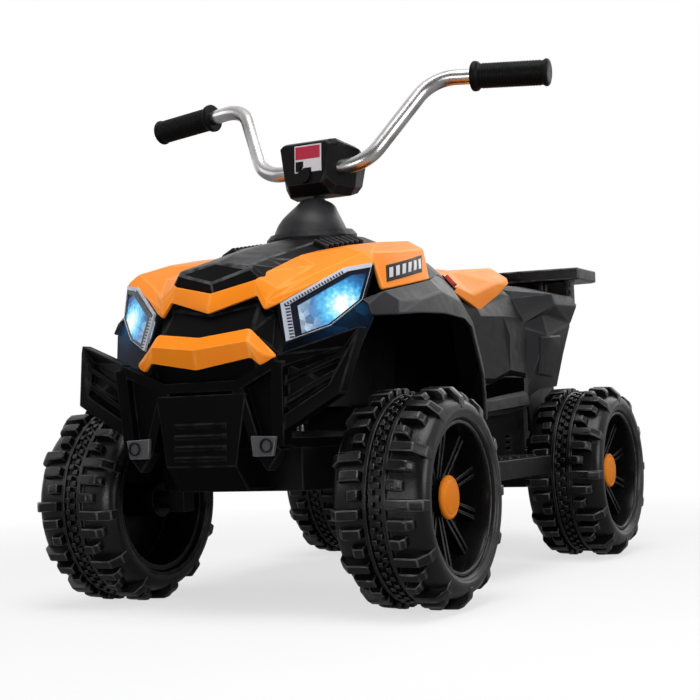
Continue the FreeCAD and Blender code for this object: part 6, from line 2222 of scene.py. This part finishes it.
@dataclass
class Studio:
    """White studio: floor, soft lamps, world and the photograph's camera."""

    camera_place: Point = (0.7088, -1.3855, 0.1761)
    azimuth: float = 28.02
    pitch: float = 2.71
    roll: float = 2.20
    lens: float = 71.92
    sensor_width: float = 36.0
    floor_size: float = 40.0
    floor_drop: float = 0.0006
    floor_mirrored: float = 0.25
    floor_bounce: Colour = srgb(120, 120, 120)
    floor_paper: Colour = srgb(238, 238, 238)
    paper_glow: Flat = (0.66, 1.0)
    shadow_reach: Flat = (0.5, 1.3)
    ambient: float = 0.16
    backdrop: Point = (0.0, 0.94, 0.34)
    backdrop_edge: Flat = (-0.45, 0.35)
    backdrop_light: Flat = (0.12, 1.0)
    lamp_aim: Point = (0.0, -0.05, 0.22)
    lamps: Sequence[tuple[str, Point, float, float]] = (
        ("lamp_overhead", (0.35, -0.55, 2.2), 1.5, 33.0),
        ("lamp_right", (2.0, -0.8, 0.8), 1.2, 21.0),
        ("lamp_left", (-1.7, -1.5, 1.1), 1.5, 10.0),
        ("lamp_front", (-0.1, -2.4, 0.15), 1.1, 19.0),
        ("lamp_back", (0.3, 2.1, 1.6), 1.6, 12.0),
    )

    def build(self) -> None:
        """Sets up the whole studio."""
        bpy.context.scene.view_settings.view_transform = "Standard"
        self.build_world()
        self.build_floor()
        self.build_lamps()
        self.build_camera()

    def build_world(self) -> None:
        """A white backdrop with a dimmer room in front of the bike, and a soft light from all round."""
        world = bpy.data.worlds.new("studio_world")
        bpy.context.scene.world = world
        world.use_nodes = True
        graph = NodeGraph(world.node_tree)
        path = graph.add("ShaderNodeLightPath")
        seen = graph.math("MAXIMUM", path.outputs["Is Camera Ray"], path.outputs["Is Transmission Ray"])
        seen = graph.math("MAXIMUM", seen, path.outputs["Is Glossy Ray"])
        soft = graph.add("ShaderNodeBackground", {"Color": WHITE, "Strength": self.ambient})
        toward = graph.add("ShaderNodeTexCoord").outputs["Generated"]
        depth = graph.add("ShaderNodeVectorMath", {0: toward, 1: self.backdrop}, operation="DOT_PRODUCT")
        mirrored = graph.remap(depth.outputs["Value"], self.backdrop_edge, self.backdrop_light)
        level = graph.math("MAXIMUM", mirrored, path.outputs["Is Camera Ray"])
        white = graph.add("ShaderNodeBackground", {"Color": WHITE, "Strength": level})
        mixed = graph.add("ShaderNodeMixShader", {0: seen, 1: soft.outputs[0], 2: white.outputs[0]})
        graph.add("ShaderNodeOutputWorld", {"Surface": mixed.outputs[0]})

    def build_floor(self) -> None:
        """A wide pale floor that keeps the bike's shadow."""
        half = self.floor_size / 2
        mesh = bpy.data.meshes.new("studio_floor")
        corners = [(-half, -half), (half, -half), (half, half), (-half, half)]
        mesh.from_pydata([(x, y, -self.floor_drop) for x, y in corners], [], [(0, 1, 2, 3)])
        floor = linked_object("studio_floor", mesh)
        material, graph = fresh_graph("pale_floor")
        path = graph.add("ShaderNodeLightPath")
        mirrored = graph.math("MULTIPLY", path.outputs["Is Glossy Ray"], self.floor_mirrored)
        seen = graph.math("MAXIMUM", path.outputs["Is Camera Ray"], mirrored)
        seen = graph.math("MAXIMUM", seen, path.outputs["Is Transmission Ray"])
        dim = graph.add("ShaderNodeBsdfDiffuse", {"Color": self.floor_bounce})
        paper = graph.add("ShaderNodeBsdfDiffuse", {"Color": self.floor_paper})
        glow = graph.add("ShaderNodeEmission", {"Color": WHITE, "Strength": 1.0})
        distance = graph.add("ShaderNodeVectorMath", {0: graph.place()}, operation="LENGTH")
        share = graph.remap(distance.outputs["Value"], self.shadow_reach, self.paper_glow)
        lit = graph.add("ShaderNodeMixShader", {0: share, 1: paper.outputs[0], 2: glow.outputs[0]})
        mixed = graph.add("ShaderNodeMixShader", {0: seen, 1: dim.outputs[0], 2: lit.outputs[0]})
        graph.add("ShaderNodeOutputMaterial", {"Surface": mixed.outputs[0]})
        mesh.materials.append(material)

    def build_lamps(self) -> None:
        """Large soft lamps that all point at the bike."""
        for name, place, size, power in self.lamps:
            light = bpy.data.lights.new(name, "AREA")
            light.shape = "DISK"
            light.size = size
            light.energy = power
            lamp = linked_object(name, light)
            lamp.location = place
            lamp.rotation_euler = (Vector(place) - Vector(self.lamp_aim)).to_track_quat("Z", "Y").to_euler()

    def build_camera(self) -> None:
        """The photograph's camera."""
        azimuth, pitch, roll = (math.radians(angle) for angle in (self.azimuth, self.pitch, self.roll))
        ahead = Vector(
            (-math.sin(azimuth) * math.cos(pitch), math.cos(azimuth) * math.cos(pitch), math.sin(pitch))
        )
        right = Vector((math.cos(azimuth), math.sin(azimuth), 0))
        down = ahead.cross(right)
        level_right = right * math.cos(roll) + down * math.sin(roll)
        level_down = down * math.cos(roll) - right * math.sin(roll)
        axes = Matrix((level_right, -level_down, -ahead)).transposed().to_4x4()
        optics = bpy.data.cameras.new("photo_camera")
        optics.lens = self.lens
        optics.sensor_width = self.sensor_width
        optics.sensor_fit = "HORIZONTAL"
        camera = linked_object("photo_camera", optics)
        camera.matrix_world = Matrix.Translation(self.camera_place) @ axes
        bpy.context.scene.camera = camera


def main() -> None:
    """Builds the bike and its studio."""
    logging.basicConfig(level=logging.INFO, format="%(name)s: %(message)s")
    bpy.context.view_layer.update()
    Studio().build()
    BodyPanels().build()
    Nose().build()
    for side in Side:
        Headlight(side).build()
    SteeringHead().build()
    for end in End:
        for side in Side:
            Wheel(end, side).build()
    RunningGear().build()


if __name__ == "__main__":
    main()
